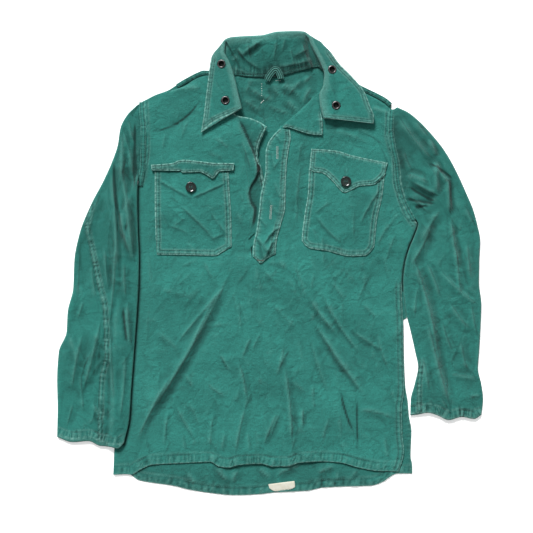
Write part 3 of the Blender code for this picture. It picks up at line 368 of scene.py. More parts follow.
FLAP_CREASES = [
    (206, 158, 186, 143, 0, 1.6, 3, 2.6), (137, 172, 137, 154, 0, 1.0, 3, 6),
    (96, 150, 112, 130, 1, 0.9, 4, 6), (-190, 168, -160, 156, 2, 1.2, 4, 6),
    (-120, 166, -96, 152, -1, 1.0, 6, 4)]
TAIL_CREASES = [
    (-150, -375, -132, -398, 1, 1.6, 4, 8), (-96, -366, -72, -394, 2, 1.8, 4, 9),
    (-58, -372, -66, -396, 1, 1.8, 7, 4), (60, -362, 10, -384, 3, 1.6, 9, 5),
    (120, -365, 84, -380, 2, 1.4, 9, 5), (160, -372, 140, -396, 1, 1.2, 6, 4),
    (-20, -368, 4, -388, 1, 1.2, 4, 7)]

# ---------------------------------------------------------------- seams

# A seam follows a path with the piece on its left. rows are the stitch rows' distances from the
# path; the band between band[0] and band[1] is raised by lift. Puckers of a given height and
# period cross it at centre, within reach. wear fades the cloth over them, edge along the path.
Seam = namedtuple("Seam", "path rows band lift pucker centre reach period wear edge seed")
ROW_SINK = 0.45             # how far the cloth is drawn in along a stitch row


def upwards(rows, low=-1e9, high=1e9):
    """An edge table of y, x as points from its low end to its high end."""
    return [(x, y) for y, x in rows if low <= y <= high]


def outline(edges):
    """Down the left edge, along the bottom and up the right edge."""
    low = edges["bottom"]
    left = [point for point in upwards(edges["left"])[::-1] if point[1] > low[0][1] + 2]
    right = [point for point in upwards(edges["right"]) if point[1] > low[-1][1] + 2]
    return left + low + right


FRONT_SEAMS = [
    Seam(FRONT_HEM, (16.5,), (0, 16.5), 0.5, 1.1, 8, 6.5, 8.5, 0.45, 0.8, 1),
    Seam(upwards(RIGHT_EDGE, high=-30), (2.5, 9.5), (0, 11), 0.4, 0.5, 6, 5, 6.5, 0.4, 0.5, 2),
    Seam(upwards(RIGHT_EDGE, low=69), (2.0, 9.0), (0, 10.5), 0.7, 0.6, 5.5, 5, 6.0, 0.6, 0.6, 3),
    Seam(upwards(LEFT_EDGE, low=149)[::-1], (1.5, 9.5), (0, 11), 0.7, 0.7, 5.5, 5, 6.0, 0.6, 0.6, 4),
    Seam(upwards(SLIT_LEFT, low=90), (), (0, 0), 0.0, 0.5, 1, 3, 7.0, 0.5, 1.0, 5),
    Seam([(-4, 244), (-18, 253), (-36, 260), (-57, 264), (-66, 270)],
         (), (0, 0), 0.0, 0.6, 2, 4, 6.0, 0.6, 1.0, 6)]
BACK_SEAMS = [
    Seam(BACK_HEM, (14.5,), (0, 14.5), 0.5, 1.1, 7, 6, 8.0, 0.45, 0.8, 7),
    Seam(upwards(BACK_RIGHT_EDGE, high=-110), (), (0, 0), 0.0, 0.4, 4, 5, 7.0, 0.3, 0.5, 8),
    Seam([(-70, 335), (-34, 333), (-10, 331), (29, 338), (62, 346), (93, 351)],
         (3.0,), (0, 3), 0.0, 0.4, 4, 7, 8.0, 0.2, 0.0, 9)]
POCKET_SEAMS = [
    Seam(outline(edges), (2.4, 8.4), (0, 10), 0.3, 0.45, 5, 5, 6.5, 0.75, 1.0, seed)
    for edges, seed in ((POCKET_LEFT, 10), (POCKET_RIGHT, 11))]
FLAP_RIGHT_SEAMS = [
    Seam(outline(FLAP_RIGHT), (2.4, 6.8), (0, 8), 0.2, 0.5, 4, 4, 6.0, 0.8, 1.0, 12),
    Seam(FLAP_RIGHT["top"][::-1], (2.0,), (0, 0), 0.0, 0.5, 3, 4, 5.5, 0.8, 0.8, 13)]
FLAP_LEFT_SEAMS = [
    Seam(outline(FLAP_LEFT), (2.2,), (0, 0), 0.0, 0.5, 3, 4, 6.0, 0.7, 1.0, 14),
    Seam(FLAP_LEFT["top"][::-1], (2.4,), (0, 0), 0.0, 0.5, 3, 4, 7.0, 0.7, 0.9, 15)]
PLACKET_OVER_SEAMS = [
    Seam(outline(PLACKET_OVER), (2.6,), (0, 0), 0.0, 0.5, 4, 5, 6.5, 0.6, 1.0, 16),
    Seam(upwards(PLACKET_OVER["right"], low=16), (8.0,), (0, 9), 0.2, 0.6, 5, 5, 6.0, 0.5, 0.4, 17)]
PLACKET_UNDER_SEAMS = [
    Seam(upwards(PLACKET_UNDER["right"]), (3.0,), (0, 0), 0.0, 0.6, 4, 5, 6.0, 0.4, 1.2, 19)]
LAPEL_SEAM = Seam(LAPEL["bottom"] + [(95, 236), (95, 252), (92, 268)],
                  (2.6,), (0, 0), 0.0, 0.6, 3, 4, 6.0, 0.8, 1.0, 20)
LEAF_SEAMS = [
    Seam([(-104, 367), (-107.5, 347), (-110, 326), (-113.5, 300), (-118, 262), (-123, 233),
          (-104, 250), (-85, 260), (-66, 268), (-52, 274)],
         (2.6, 6.6), (0, 7), 0.2, 0.55, 4, 4, 5.5, 0.85, 1.0, 21),
    Seam([(98, 258), (140, 254), (186, 249.5), (187, 263), (180, 281), (169, 308), (148, 333),
          (124, 357), (108, 379)],
         (2.6, 6.6), (0, 7), 0.2, 0.5, 4, 4, 5.5, 0.8, 1.0, 22)]
STAND_SEAM = Seam([(-70, 336), (-45, 336), (-16, 334), (2, 334), (22, 337), (44, 342), (62, 347),
                   (90, 353)],
                  (4.0,), (0, 5), 0.2, 0.8, 9, 9, 9.0, 0.3, 0.3, 23)
SLEEVE_LEFT_SEAMS = [
    Seam([(-319, 101), (-327, 69), (-319, 27), (-311, -11), (-302, -50), (-295, -76), (-293, -117),
          (-292, -166), (-300, -203), (-303, -252), (-304, -322)],
         (-3.2, 3.4), (-4, 4), 0.7, 1.0, 0, 5, 7.5, 0.7, 0.0, 24),
    Seam([(-384, -308), (-356, -316), (-324, -313), (-304, -321), (-285, -324), (-270, -326),
          (-257, -318)],
         (12.0,), (0, 12), 0.5, 1.1, 6, 7, 8.5, 0.6, 0.7, 25)]
SLEEVE_RIGHT_SEAMS = [
    Seam([(273, -175), (269, -220), (268, -276)], (-3, 3), (-4, 4), 0.6, 0.8, 0, 5, 6.5, 0.6, 0.0, 26),
    Seam([(252, -272), (285, -270), (302, -274), (322, -283), (345, -278), (368, -281),
          (386, -273)],
         (15.0,), (0, 15), 0.6, 1.2, 8, 8, 8.5, 0.8, 0.8, 27),
    Seam([(222, 272), (221, 240), (225, 208), (233, 180), (235, 150), (243, 118)][::-1],
         (), (0, 0), 0.0, 0.5, 2, 5, 6.0, 0.4, 0.4, 28)]

# The felled seams over the armholes. Columns: x, y, height
ARMHOLE_LEFT = [(-232, 138, 5.9), (-231, 152, 7.6), (-227.5, 176, 8.0), (-227, 207, 8.2),
                (-226.5, 245, 7.8), (-228.5, 266, 7.2), (-229.5, 289, 5.6)]
ARMHOLE_RIGHT = [(259, 76, 6.2), (248, 96, 7.2), (237, 121, 7.8), (231, 149, 8.0), (228, 180, 8.0),
                 (221, 214, 7.9), (218, 240, 7.7), (218.5, 258, 7.2), (220.5, 276, 5.8)]
ARMHOLE_WIDTH = 9.5

# Small thread marks inside the neck: x, y, x, y, length of a stitch, distance between stitches
THREAD_MARKS = [(-14, 322, -14, 301, 1.9, 3.6), (12, 328, 19, 328, 2.0, 3.2),
                (-15, 288, -11, 292, 3.6, 2.4)]
# The bar tack at the placket's end: x, y of both its ends
PLACKET_TACK = [(-23, 5), (-11, 4)]
# Buttonholes: x, y of the top, x, y of the bottom, width
BUTTONHOLES = [(14, 209, 14, 187, 3.2), (3, 103, 1.5, 79, 3.2)]
# Columns: name, x, y, x of the place that gives its height, side of the slit, plies under the button
BUTTONS = [("button_pocket_left", -141, 136, -141, "left", 1),
           ("button_pocket_right", 137, 146, 137, "right", 2),
           ("button_placket", -26, 170, -13, "left", 1)]
BUTTON_HOLES = 1.9          # how far a button's thread holes are from its middle, across and up
EYELET_CUT = 6.1            # radius of the hole cut in the leaf under an eyelet
EYELETS = [("eyelet_left_upper", -86, 356), ("eyelet_left_lower", -79, 291),
           ("eyelet_right_upper", 112, 346), ("eyelet_right_lower", 119, 282)]

# ---------------------------------------------------------------- curves, folds and unevenness


def slopes(keys, values):
    """Slopes of a smooth curve through values that never overshoots them."""
    secants = np.diff(values) / np.diff(keys)
    before, after = secants[:-1], secants[1:]
    turning = before * after <= 0
    middle = np.where(turning, 0.0, 2 * before * after / np.where(turning, 1.0, before + after))
    return np.concatenate([secants[:1], middle, secants[-1:]])


def curve(rows, at, column=1):
    """Value of a column at keys in the first column, on a smooth curve through the rows."""
    keys = np.array([row[0] for row in rows], float)
    values = np.array([row[column] for row in rows], float)
    lean = slopes(keys, values)
    at = np.asarray(at, float)
    i = np.clip(np.searchsorted(keys, at, side="right") - 1, 0, len(keys) - 2)
    span = keys[i + 1] - keys[i]
    t = np.clip((at - keys[i]) / span, 0.0, 1.0)
    return (values[i] * (1 + 2 * t) * (1 - t) ** 2 + values[i + 1] * t * t * (3 - 2 * t)
            + lean[i] * span * t * (1 - t) ** 2 - lean[i + 1] * span * t * t * (1 - t))


def smooth(t):
    """0 below 0, 1 above 1, and a soft step between."""
    t = np.clip(t, 0.0, 1.0)
    return t * t * (3 - 2 * t)


def mix(a, b, t):
    """a where t is 0, b where it is 1, and even steps between."""
    return a + (b - a) * t


def unit(vectors):
    """Rows of vectors brought to length 1."""
    return vectors / np.linalg.norm(vectors, axis=1, keepdims=True)


def bell(distance, reach):
    """1 at no distance, and softly less on both sides."""
    return np.exp(-(distance / reach) ** 2)


def crest(distance, half):
    """A fold's section: a crisp top with long soft sides."""
    return np.exp(-1.5 * (np.sqrt((distance / half) ** 2 + 0.02) - 0.14))


def ridge(x, y, fold, depth):
    """Height of one fold along a bowed line, and how worn it is, with painted shade as values below 0.
    """
    x0, y0, x1, y1, bow, rise, left, right = fold
    dx, dy = x1 - x0, y1 - y0
    length = math.hypot(dx, dy)
    along = ((x - x0) * dx + (y - y0) * dy) / length ** 2
    across = ((x - x0) * dy - (y - y0) * dx) / length
    inside = np.clip(along, 0.0, 1.0)
    across = across - bow * 4 * inside * (1 - inside)
    past = (along - inside) * length
    fade = smooth(inside / 0.3) * smooth((1 - inside) / 0.3) * bell(past, min(left, right))
    half = np.where(across > 0, left, right)
    steep = min(left, right)
    side = 0 if left == right else (1 if left < right else -1)
    dip = 0.25 * abs(side) * bell(across - side * steep * 1.8, steep * 0.9)
    fade = fade * rise * depth
    strong = np.minimum(np.abs(fade), 1.8) ** 0.7
    worn = 0.07 * strong * bell(across, 1.6) if rise > 0 else 0.0
    # Painted shade: a dark line along the steep side of a fold, which faces away from the light, and
    # along a trough.
    dark = (0.34 * abs(side) if rise > 0 else 0.7) * strong * bell(across - side * 1.6, 1.5)
    return fade * (crest(across, half) - dip), worn - dark


def creased(x, y, table, depth=1.0):
    """Height of all the folds in a table, and how worn they are, with painted shade as values below 0.
    """
    height, wear = np.zeros_like(x), np.zeros_like(x)
    for fold in table:
        reach = 4 * max(fold[6], fold[7]) + abs(fold[4]) + 4
        near = ((x > min(fold[0], fold[2]) - reach) & (x < max(fold[0], fold[2]) + reach)
                & (y > min(fold[1], fold[3]) - reach) & (y < max(fold[1], fold[3]) + reach))
        if near.any():
            rise, worn = ridge(x[near], y[near], fold, depth)
            height[near] += rise
            wear[near] += worn
    return height, wear


def small_folds(seed, count, low, high, lean, rise=0.6):
    """Rows for short straight creases scattered between two corners, most of them near one lean.

    The lean is in degrees from upright. Each crease branches into a second, shorter one.
    """
    chance = np.random.default_rng(seed)
    rows = []
    for _ in range(count):
        x, y = chance.uniform(low[0], high[0]), chance.uniform(low[1], high[1])
        turn = math.radians(lean * chance.choice((-1, 1)) + chance.normal(0, 22))
        length = chance.uniform(18, 58)
        for part in (1.0, 0.55):
            end_x, end_y = x + length * part * math.sin(turn), y - length * part * math.cos(turn)
            steep, soft = chance.uniform(2.6, 4.5), chance.uniform(6, 12)
            pair = (steep, soft) if chance.uniform() < 0.6 else (soft, steep)
            high_by = rise * part * chance.uniform(0.5, 1.25)
            rows.append((x, y, end_x, end_y, chance.uniform(-2.5, 2.5), high_by, *pair))
            x, y = mix(x, end_x, 0.7), mix(y, end_y, 0.7)
            turn += math.radians(chance.choice((-1, 1)) * chance.uniform(35, 75))
    return rows


def patchy(x, y, size, seed):
    """Soft uneven values from -1 to 1 over the plane."""
    lattice = np.random.default_rng(seed).uniform(-1, 1, (64, 64))
    gx, gy = x / size + 1000.0, y / size + 1000.0
    i, j = np.floor(gx).astype(int), np.floor(gy).astype(int)
    fx, fy = smooth(gx - i), smooth(gy - j)
    i, j, k, m = i % 64, j % 64, (i + 1) % 64, (j + 1) % 64
    return mix(mix(lattice[i, j], lattice[k, j], fx), mix(lattice[i, m], lattice[k, m], fx), fy)


def swell(x, y, seed):
    """Broad soft rises and hollows of cloth that doesn't lie quite flat."""
    return 3.0 * patchy(x + 0.4 * y, y - 0.2 * x, 84, seed) + 1.2 * patchy(x, y, 47, seed + 1)


def crumple(x, y, seed, amount=1.0):
    """Crumpling of washed cloth that dried in a heap: soft ridges in no one direction."""
    warp_x = x + 9 * patchy(x, y, 30, seed)
    warp_y = y + 9 * patchy(x, y, 30, seed + 1)
    height = np.zeros_like(x)
    for size, rise, shift in ((46, 1.5, 2), (25, 0.9, 3), (13, 0.35, 4)):
        turn = shift * 0.7
        tx = warp_x * math.cos(turn) - warp_y * math.sin(turn)
        ty = warp_x * math.sin(turn) + warp_y * math.cos(turn)
        height += rise * (1 - np.abs(patchy(tx, ty, size, seed + shift))) ** 2
    strength = 0.6 + 0.4 * patchy(x, y, 70, seed + 9)
    return amount * strength * (height - 1.5)


def uneven(place, period, seed):
    """Uneven values from about -1 to 1 along a seam."""
    turns = 2 * math.pi * place / period
    return (np.sin(turns + seed) + 0.6 * np.sin(1.73 * turns + 2.1 * seed)
            + 0.4 * np.sin(2.9 * turns + 0.7 * seed)) / 1.6


def pucker_wave(place, period, seed):
    """Short rises and falls across a seam, uneven in size and spacing."""
    lag = 1.4 * uneven(place, period * 3.3, seed) + 0.6 * uneven(place, period * 1.4, seed + 5)
    size = 0.65 + 0.35 * uneven(place, period * 4.6, seed + 9)
    return np.sin(2 * math.pi * place / period + 2.0 * lag) * size


def smooth_path(points, step=6.0):
    """Points at even steps on a smooth curve through a seam's points."""
    path = np.array(points, float)
    chord = np.concatenate([[0], np.cumsum(np.hypot(*np.diff(path, axis=0).T))])
    rows = np.column_stack([chord, path])
    count = max(int(chord[-1] / step), 2)
    at = np.linspace(0, chord[-1], count + 1)
    return np.column_stack([curve(rows, at, 1), curve(rows, at, 2)])


def from_path(x, y, path):
    """Signed distance from a path, positive on its left, and the place along it."""
    nearest = np.full(x.shape, 1e9)
    signed, place = np.zeros_like(x), np.zeros_like(x)
    start = 0.0
    for (x0, y0), (x1, y1) in zip(path, path[1:]):
        dx, dy = x1 - x0, y1 - y0
        length = math.hypot(dx, dy)
        t = np.clip(((x - x0) * dx + (y - y0) * dy) / length ** 2, 0, 1)
        off_x, off_y = x - x0 - t * dx, y - y0 - t * dy
        away = np.hypot(off_x, off_y)
        side = np.where(dx * off_y - dy * off_x >= 0, 1.0, -1.0)
        closer = away < nearest
        nearest = np.where(closer, away, nearest)
        signed = np.where(closer, side * away, signed)
        place = np.where(closer, start + t * length, place)
        start += length
    return signed, place, start


def seam_relief(x, y, seam):
    """Height, wear and painted shade that a seam gives the cloth round it."""
    height, wear, deep = np.zeros_like(x), np.zeros_like(x), np.zeros_like(x)
    path = smooth_path(seam.path)
    reach = 3 * seam.reach + abs(seam.centre) + 12
    near = ((x > path[:, 0].min() - reach) & (x < path[:, 0].max() + reach)
            & (y > path[:, 1].min() - reach) & (y < path[:, 1].max() + reach))
    if not near.any():
        return height, wear, deep
    d, place, length = from_path(x[near], y[near], path)
    ends = smooth((place + 4) / 8) * smooth((length + 4 - place) / 8)
    wave = pucker_wave(place, seam.period, seam.seed)
    spread = bell(d - seam.centre, seam.reach)
    band = smooth((d - seam.band[0] + 1.5) / 1.5) * smooth((seam.band[1] + 1.5 - d) / 1.5)
    dz = seam.lift * band + seam.pucker * wave * spread
    worn = 0.45 * seam.wear * spread * np.clip(0.25 + 0.75 * wave, 0, 1)
    # Painted shade in the puckers' hollows and along the sunk stitch rows, partly dye that stayed
    # there; the puckers' crests are worn.
    dark = 0.35 * spread * np.clip(-wave, 0, 1)
    for row in seam.rows:
        dz = dz - ROW_SINK * bell(d - row, 1.3)
        dark = dark + 0.75 * bell(d - row, 1.0)
        worn = worn + 0.35 * seam.wear * bell(d - row - 1.9, 1.1)
    if seam.edge:
        rim = 1.8 * bell(d - 0.3, 1.3) * (0.55 + 0.45 * uneven(place, 11.0, seam.seed + 3))
        worn = worn + seam.edge * rim
    height[near] = dz * ends
    wear[near] = worn * ends
    deep[near] = dark * ends
    return height, wear, deep

# ---------------------------------------------------------------- heights of the cloth

# Finer creases, scattered as on cloth that was washed, crushed and laid flat
FRONT_SMALL = (small_folds(61, 46, (-190, -70), (225, 20), 28)
               + small_folds(62, 54, (-225, -330), (230, -70), 18)
               + small_folds(63, 16, (-200, 20), (200, 260), 40, 0.5))
BACK_SMALL = (small_folds(64, 18, (-60, 250), (90, 330), 60, 0.6)
              + small_folds(65, 22, (-200, -395), (230, -370), 15, 0.6))
SLEEVE_LEFT_SMALL = small_folds(66, 38, (-360, -310), (-240, 260), 14)
SLEEVE_RIGHT_SMALL = small_folds(67, 38, (255, -250), (375, 240), 22)

Sleeve = namedtuple("Sleeve", "name table creases seams underarm cuff covers_body seed")
SLEEVES = [
    Sleeve("sleeve_left", SLEEVE_LEFT, SLEEVE_LEFT_CREASES + SLEEVE_LEFT_SMALL,
           SLEEVE_LEFT_SEAMS, UNDERARM_LEFT, CUFF_LEFT, True, 51),
    Sleeve("sleeve_right", SLEEVE_RIGHT, SLEEVE_RIGHT_CREASES + SLEEVE_RIGHT_SMALL,
           SLEEVE_RIGHT_SEAMS, UNDERARM_RIGHT, CUFF_RIGHT, False, 61)]


def front_fold(x, y):
    """Height of the loose fold beside the slit, and the painted shade in the hollow next to it."""
    height, deep = np.zeros_like(x), np.zeros_like(x)
    near = (x > -135) & (x < 15) & (y > 40) & (y < 275)
    if near.any():
        away, place, length = from_path(x[near], y[near], smooth_path(FRONT_FOLD, 5.0))
        ends = smooth(place / 24) * smooth((length - place) / 22)
        rise = 3.4 + 3.4 * bell(y[near] - 170, 15)
        height[near] = ends * rise * smooth((1.2 - away) / 2.6) * np.exp(-np.maximum(-away, 0) / 26)
        hollow_shade = 1.1 * bell(away - 1.4, 1.9) + 0.45 * smooth(away / 4) * bell(away, 30)
        deep[near] = ends * hollow_shade
    return height, deep


def front_top(x, y, part):
    """Top of the front, and how worn it is, with painted shade as values below 0.

    part is 'left' or 'right' of the slit.
    """
    from_left = x - curve(LEFT_EDGE, y)
    from_right = curve(RIGHT_EDGE, y) - x
    fade_left = np.exp(-np.maximum(from_left, 0) / SIDE_FADE_LEFT)
    fade_right = np.exp(-np.maximum(from_right, 0) / SIDE_FADE_RIGHT)
    height = BODY_HEIGHT - (BODY_HEIGHT - curve(LEFT_EDGE_HEIGHT, y)) * fade_left
    height -= (BODY_HEIGHT - curve(RIGHT_EDGE_HEIGHT, y)) * fade_right
    top = curve(FRONT_TOP_LEFT if part == "left" else FRONT_TOP_RIGHT, x)
    shoulder = SHOULDER_DROP * np.exp(-np.maximum(top - y, 0) / SHOULDER_FADE)
    height -= np.where(np.abs(x) > SHOULDER_START, shoulder, 0.0)
    height -= HEM_DROP * np.exp(-np.maximum(y - curve(FRONT_HEM, x), 0) / HEM_FADE)
    rolls, worn = creased(x, y, SHOULDER_ROLLS + HOLLOWS + FRONT_SMALL)
    main, main_worn = creased(x, y, FRONT_CREASES)
    deeper = 1.0 + 0.3 * smooth((-60 - y) / 90)
    rolls, worn = rolls + deeper * main, worn + deeper * main_worn
    clear = np.where(y < 170, smooth((from_left - 32) / 30), 1.0)
    height += clear * (rolls + crumple(x, y, 3) + swell(x, y, 7))
    edge = curve(SLIT_RIGHT, y)
    rise = np.where(y > SLIT_FOOT + 1, smooth((y - SLIT_FOOT) / 16), 0.0)
    if part == "left":
        under = SIDE_HEIGHT + 0.1 * np.maximum(edge - x - 4, 0)
        tucked = rise * smooth((SLIT_OVERLAP_END - y) / 20)
        height = mix(height, np.minimum(height, under), tucked)
        # The loose fold, with painted shade in the hollow beside it, carried as wear below 0.
        fold, hollow_shade = front_fold(x, y)
        height = height + fold
        worn = worn - hollow_shade
    else:
        over = rise * smooth((edge + 70 - x) / 35)
        height = mix(height, np.maximum(height, SLIT_OVER_HEIGHT), over)
    return np.maximum(height, SIDE_HEIGHT), worn * clear


def sleeve_shadow(x, y):
    """Painted shadow on the front beside each sleeve's inner edge, where the sleeve shades the body.
    """
    deep = np.zeros_like(x)
    for table, low, high, near in ((SLEEVE_LEFT, -340, 150, x < -200),
                                   (SLEEVE_RIGHT, -110, 90, x > 200)):
        near = near & (y > low - 10) & (y < high + 10)
        if near.any():
            path = [row[3:5] for row in table]
            away, _, _ = from_path(x[near], y[near], smooth_path(path, 8.0))
            deep[near] = 1.2 * bell(away, 3.6) * smooth((high - y[near]) / 10)
    return deep


def all_seams(x, y, seams):
    """Height, wear and painted shade from several seams together."""
    total = [np.zeros_like(x), np.zeros_like(x), np.zeros_like(x)]
    for seam in seams:
        for kept, added in zip(total, seam_relief(x, y, seam)):
            kept += added
    return total


def rounded(gap):
    """How far a folded edge has dropped at a distance from it."""
    near = 1 - np.clip(gap / EDGE_ROUND, 0.0, 1.0)
    return 0.7 * (1 - np.sqrt(1 - near ** 2))


# ---------------------------------------------------------------- mesh helpers


def even_with_edges(count, width):
    """Places from 0 to 1 across a piece: two short steps at each edge, even ones between."""
    edge = np.array([0.0, EDGE_STEP, EDGE_ROUND]) / width
    inner = np.linspace(edge[-1], 1 - edge[-1], count - 3)[1:-1]
    return np.concatenate([edge, inner, 1 - edge[::-1]])


def local_relief(height, column, row, reach=3):
    """How far each point of a grid stands over the ones around it."""
    field = np.zeros((row.max() + 1, column.max() + 1))
    field[row, column] = height
    padded = np.pad(field, reach, mode="edge")
    around = np.zeros_like(field)
    for shift_y in range(2 * reach + 1):
        for shift_x in range(2 * reach + 1):
            around += padded[shift_y:shift_y + field.shape[0], shift_x:shift_x + field.shape[1]]
    return (field - around / (2 * reach + 1) ** 2)[row, column]


def in_metres(name, bm):
    """An object in the scene from a mesh drawn in millimetres."""
    bmesh.ops.translate(bm, verts=bm.verts, vec=(*SHIFT, 0))
    bmesh.ops.scale(bm, verts=bm.verts, vec=(MM, MM, MM))
    mesh = bpy.data.meshes.new(name)
    bm.to_mesh(mesh)
    bm.free()
    made = bpy.data.objects.new(name, mesh)
    bpy.context.scene.collection.objects.link(made)
    return made


def finished(name, bm, material_name, body=BODY):
    """A piece of the shirt from a closed mesh, smooth, with its finish and on its body."""
    piece = in_metres(name, bm)
    piece.data.shade_smooth()
    piece.data.materials.append(bpy.data.materials[material_name])
    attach(piece, body)
    return piece


def give_wall(bm, wall, along_normal=False):
    """Give an open sheet its thickness, downwards or along its normals. Edges stay rounded."""
    bmesh.ops.remove_doubles(bm, verts=bm.verts, dist=0.002)
    bmesh.ops.recalc_face_normals(bm, faces=bm.faces)
    bm.normal_update()
    if sum(face.normal.z for face in bm.faces) < 0:
        bmesh.ops.reverse_faces(bm, faces=bm.faces)
        bm.normal_update()
    drop = bm.verts.layers.float["drop"]
    inward = {}
    if along_normal:
        inward = {vert.index: vert.normal.copy() for vert in bm.verts}
        index = bm.verts.layers.int.new("sheet_index")
        for vert in bm.verts:
            vert[index] = vert.index
    lowered = bmesh.ops.extrude_face_region(bm, geom=bm.faces[:])
    for vert in lowered["geom"]:
        if not isinstance(vert, bmesh.types.BMVert):
            continue
        if along_normal:
            vert.co -= inward[vert[index]] * (wall - vert[drop])
        else:
            vert.co.z -= wall - vert[drop]
    if along_normal:
        bm.verts.layers.int.remove(index)
    bm.verts.layers.float.remove(bm.verts.layers.float["drop"])
    for vert in bm.verts:
        vert.co.z = max(vert.co.z, 0.0)
    bmesh.ops.recalc_face_normals(bm, faces=bm.faces)


def cloth(name, patches, wall=WALL, along_normal=False, holes=(), material_name="washed cotton"):
    """A cloth piece. Each patch is columns, rows and a function that places the grid's points.

    The function takes arrays of column and row numbers and gives x, y, z, wear, painted shade,
    drop at the edge and the cloth's own two directions.
    """
    bm = bmesh.new()
    for number, (columns, rows, _) in enumerate(patches):
        bmesh.ops.create_grid(bm, x_segments=columns, y_segments=rows, size=0.5,
                              matrix=Matrix.Translation((0.5 + 10 * number, 0.5, 0)))
    flat = bpy.data.meshes.new(name + ".flat")
    bm.to_mesh(flat)
    count = len(flat.vertices)
    places = np.zeros(count * 3, dtype=np.float32)
    flat.vertices.foreach_get("co", places)
    places = places.reshape(-1, 3).astype(float)
    patch = np.floor(places[:, 0] / 10 + 0.05).astype(int)
    values = np.zeros((count, 8))
    for number, (columns, rows, place) in enumerate(patches):
        mine = patch == number
        column = np.rint((places[mine, 0] - 10 * number) * columns).astype(int)
        row = np.rint(places[mine, 1] * rows).astype(int)
        x, y, z, wear, deep, drop, grain_x, grain_y = place(column, row)
        stands = local_relief(z, column, row)
        # The cloth's own uneven tone, painted shade in the hollows, partly dye that stayed there, and
        # wear on the ridges' tops.
        tone = 0.11 + 0.13 * patchy(x, y, 58, 91) + 0.07 * patchy(x, y, 19, 92)
        hollow_shade = 0.5 * np.clip(-stands - 0.05, 0, 0.9)
        deep = deep + np.maximum(-wear, 0) + hollow_shade + np.maximum(tone, 0)
        wear = np.maximum(wear, 0) + 0.12 * np.clip(stands - 0.1, 0, 1.2)
        values[mine] = np.column_stack([x, y, z - drop, wear, deep, drop, grain_x, grain_y])
    flat.vertices.foreach_set("co", values[:, :3].astype(np.float32).ravel())
    for label, column in (("wear", 3), ("deep", 4), ("drop", 5)):
        layer = flat.attributes.new(label, 'FLOAT', 'POINT')
        layer.data.foreach_set("value", values[:, column].astype(np.float32))
    grain = np.column_stack([values[:, 6:8], np.zeros(count)]).astype(np.float32)
    layer = flat.attributes.new("grain", 'FLOAT_VECTOR', 'POINT')
    layer.data.foreach_set("vector", grain.ravel())
    bm.clear()
    bm.from_mesh(flat)
    bpy.data.meshes.remove(flat)
    for centre, radius in holes:
        cut = [vert for vert in bm.verts if (vert.co - centre).length < radius]
        bmesh.ops.delete(bm, geom=cut, context='VERTS')
    give_wall(bm, wall, along_normal)
    return finished(name, bm, material_name)


# ---------------------------------------------------------------- pattern pieces laid out


def in_panel(edges, u, v):
    """x and y inside four edges, from places 0 to 1 across and up."""
    low_x = mix(edges["bottom"][0][0], edges["bottom"][-1][0], u)
    high_x = mix(edges["top"][0][0], edges["top"][-1][0], u)
    y = mix(curve(edges["bottom"], low_x), curve(edges["top"], high_x), v)
    return mix(curve(edges["left"], y), curve(edges["right"], y), u), y


def edge_gap(edges, x, y):
    sides = np.minimum(x - curve(edges["left"], y), curve(edges["right"], y) - x)
    ends = np.minimum(y - curve(edges["bottom"], x), curve(edges["top"], x) - y)
    return np.maximum(np.minimum(sides, ends), 0)


def panel_size(edges):
    width = max(row[0] for row in edges["bottom"]) - min(row[0] for row in edges["bottom"])
    height = max(row[1] for row in edges["top"]) - min(row[1] for row in edges["bottom"])
    return width, height


def laid_panel(name, edges, part, raise_by, seams, creases=(), wall=WALL, step=1.9, seed=1,
               amount=0.6, shade=0.0):
    """A panel that lies on the front, raised by raise_by(x, y) over it, with shade as painted shade
    over all of it.
    """
    width, height = panel_size(edges)
    columns, rows = max(int(width / step), 8), max(int(height / step), 8)
    across, up = even_with_edges(columns, width), even_with_edges(rows, height)

    def place(column, row):
        x, y = in_panel(edges, across[column], up[row])
        z, wear = front_top(x, y, part)
        rise, worn = creased(x, y, creases, 1.2)
        seam_z, seam_wear, seam_shade = all_seams(x, y, seams)
        z = z + raise_by(x, y) + wall - WALL + np.maximum(rise, 0) + seam_z
        z = z + np.maximum(crumple(x, y, seed, amount), -0.2)
        # Painted shade carried over from the front below, and the panel's own painted shade.
        panel_shade = np.maximum(-wear, 0) + shade
        return x, y, z, worn + seam_wear, seam_shade + panel_shade, rounded(edge_gap(edges, x, y)), x, y

    return cloth(name, [(columns, rows, place)], wall=wall)


def plies(count, loose=0.0):
    return lambda x, y: count * LAYER + loose


def placket_raise(x, y):
    return LAYER + PLACKET_LOOSE * smooth((20 - x) / 40)


# ---------------------------------------------------------------- front, back, sleeves, collar


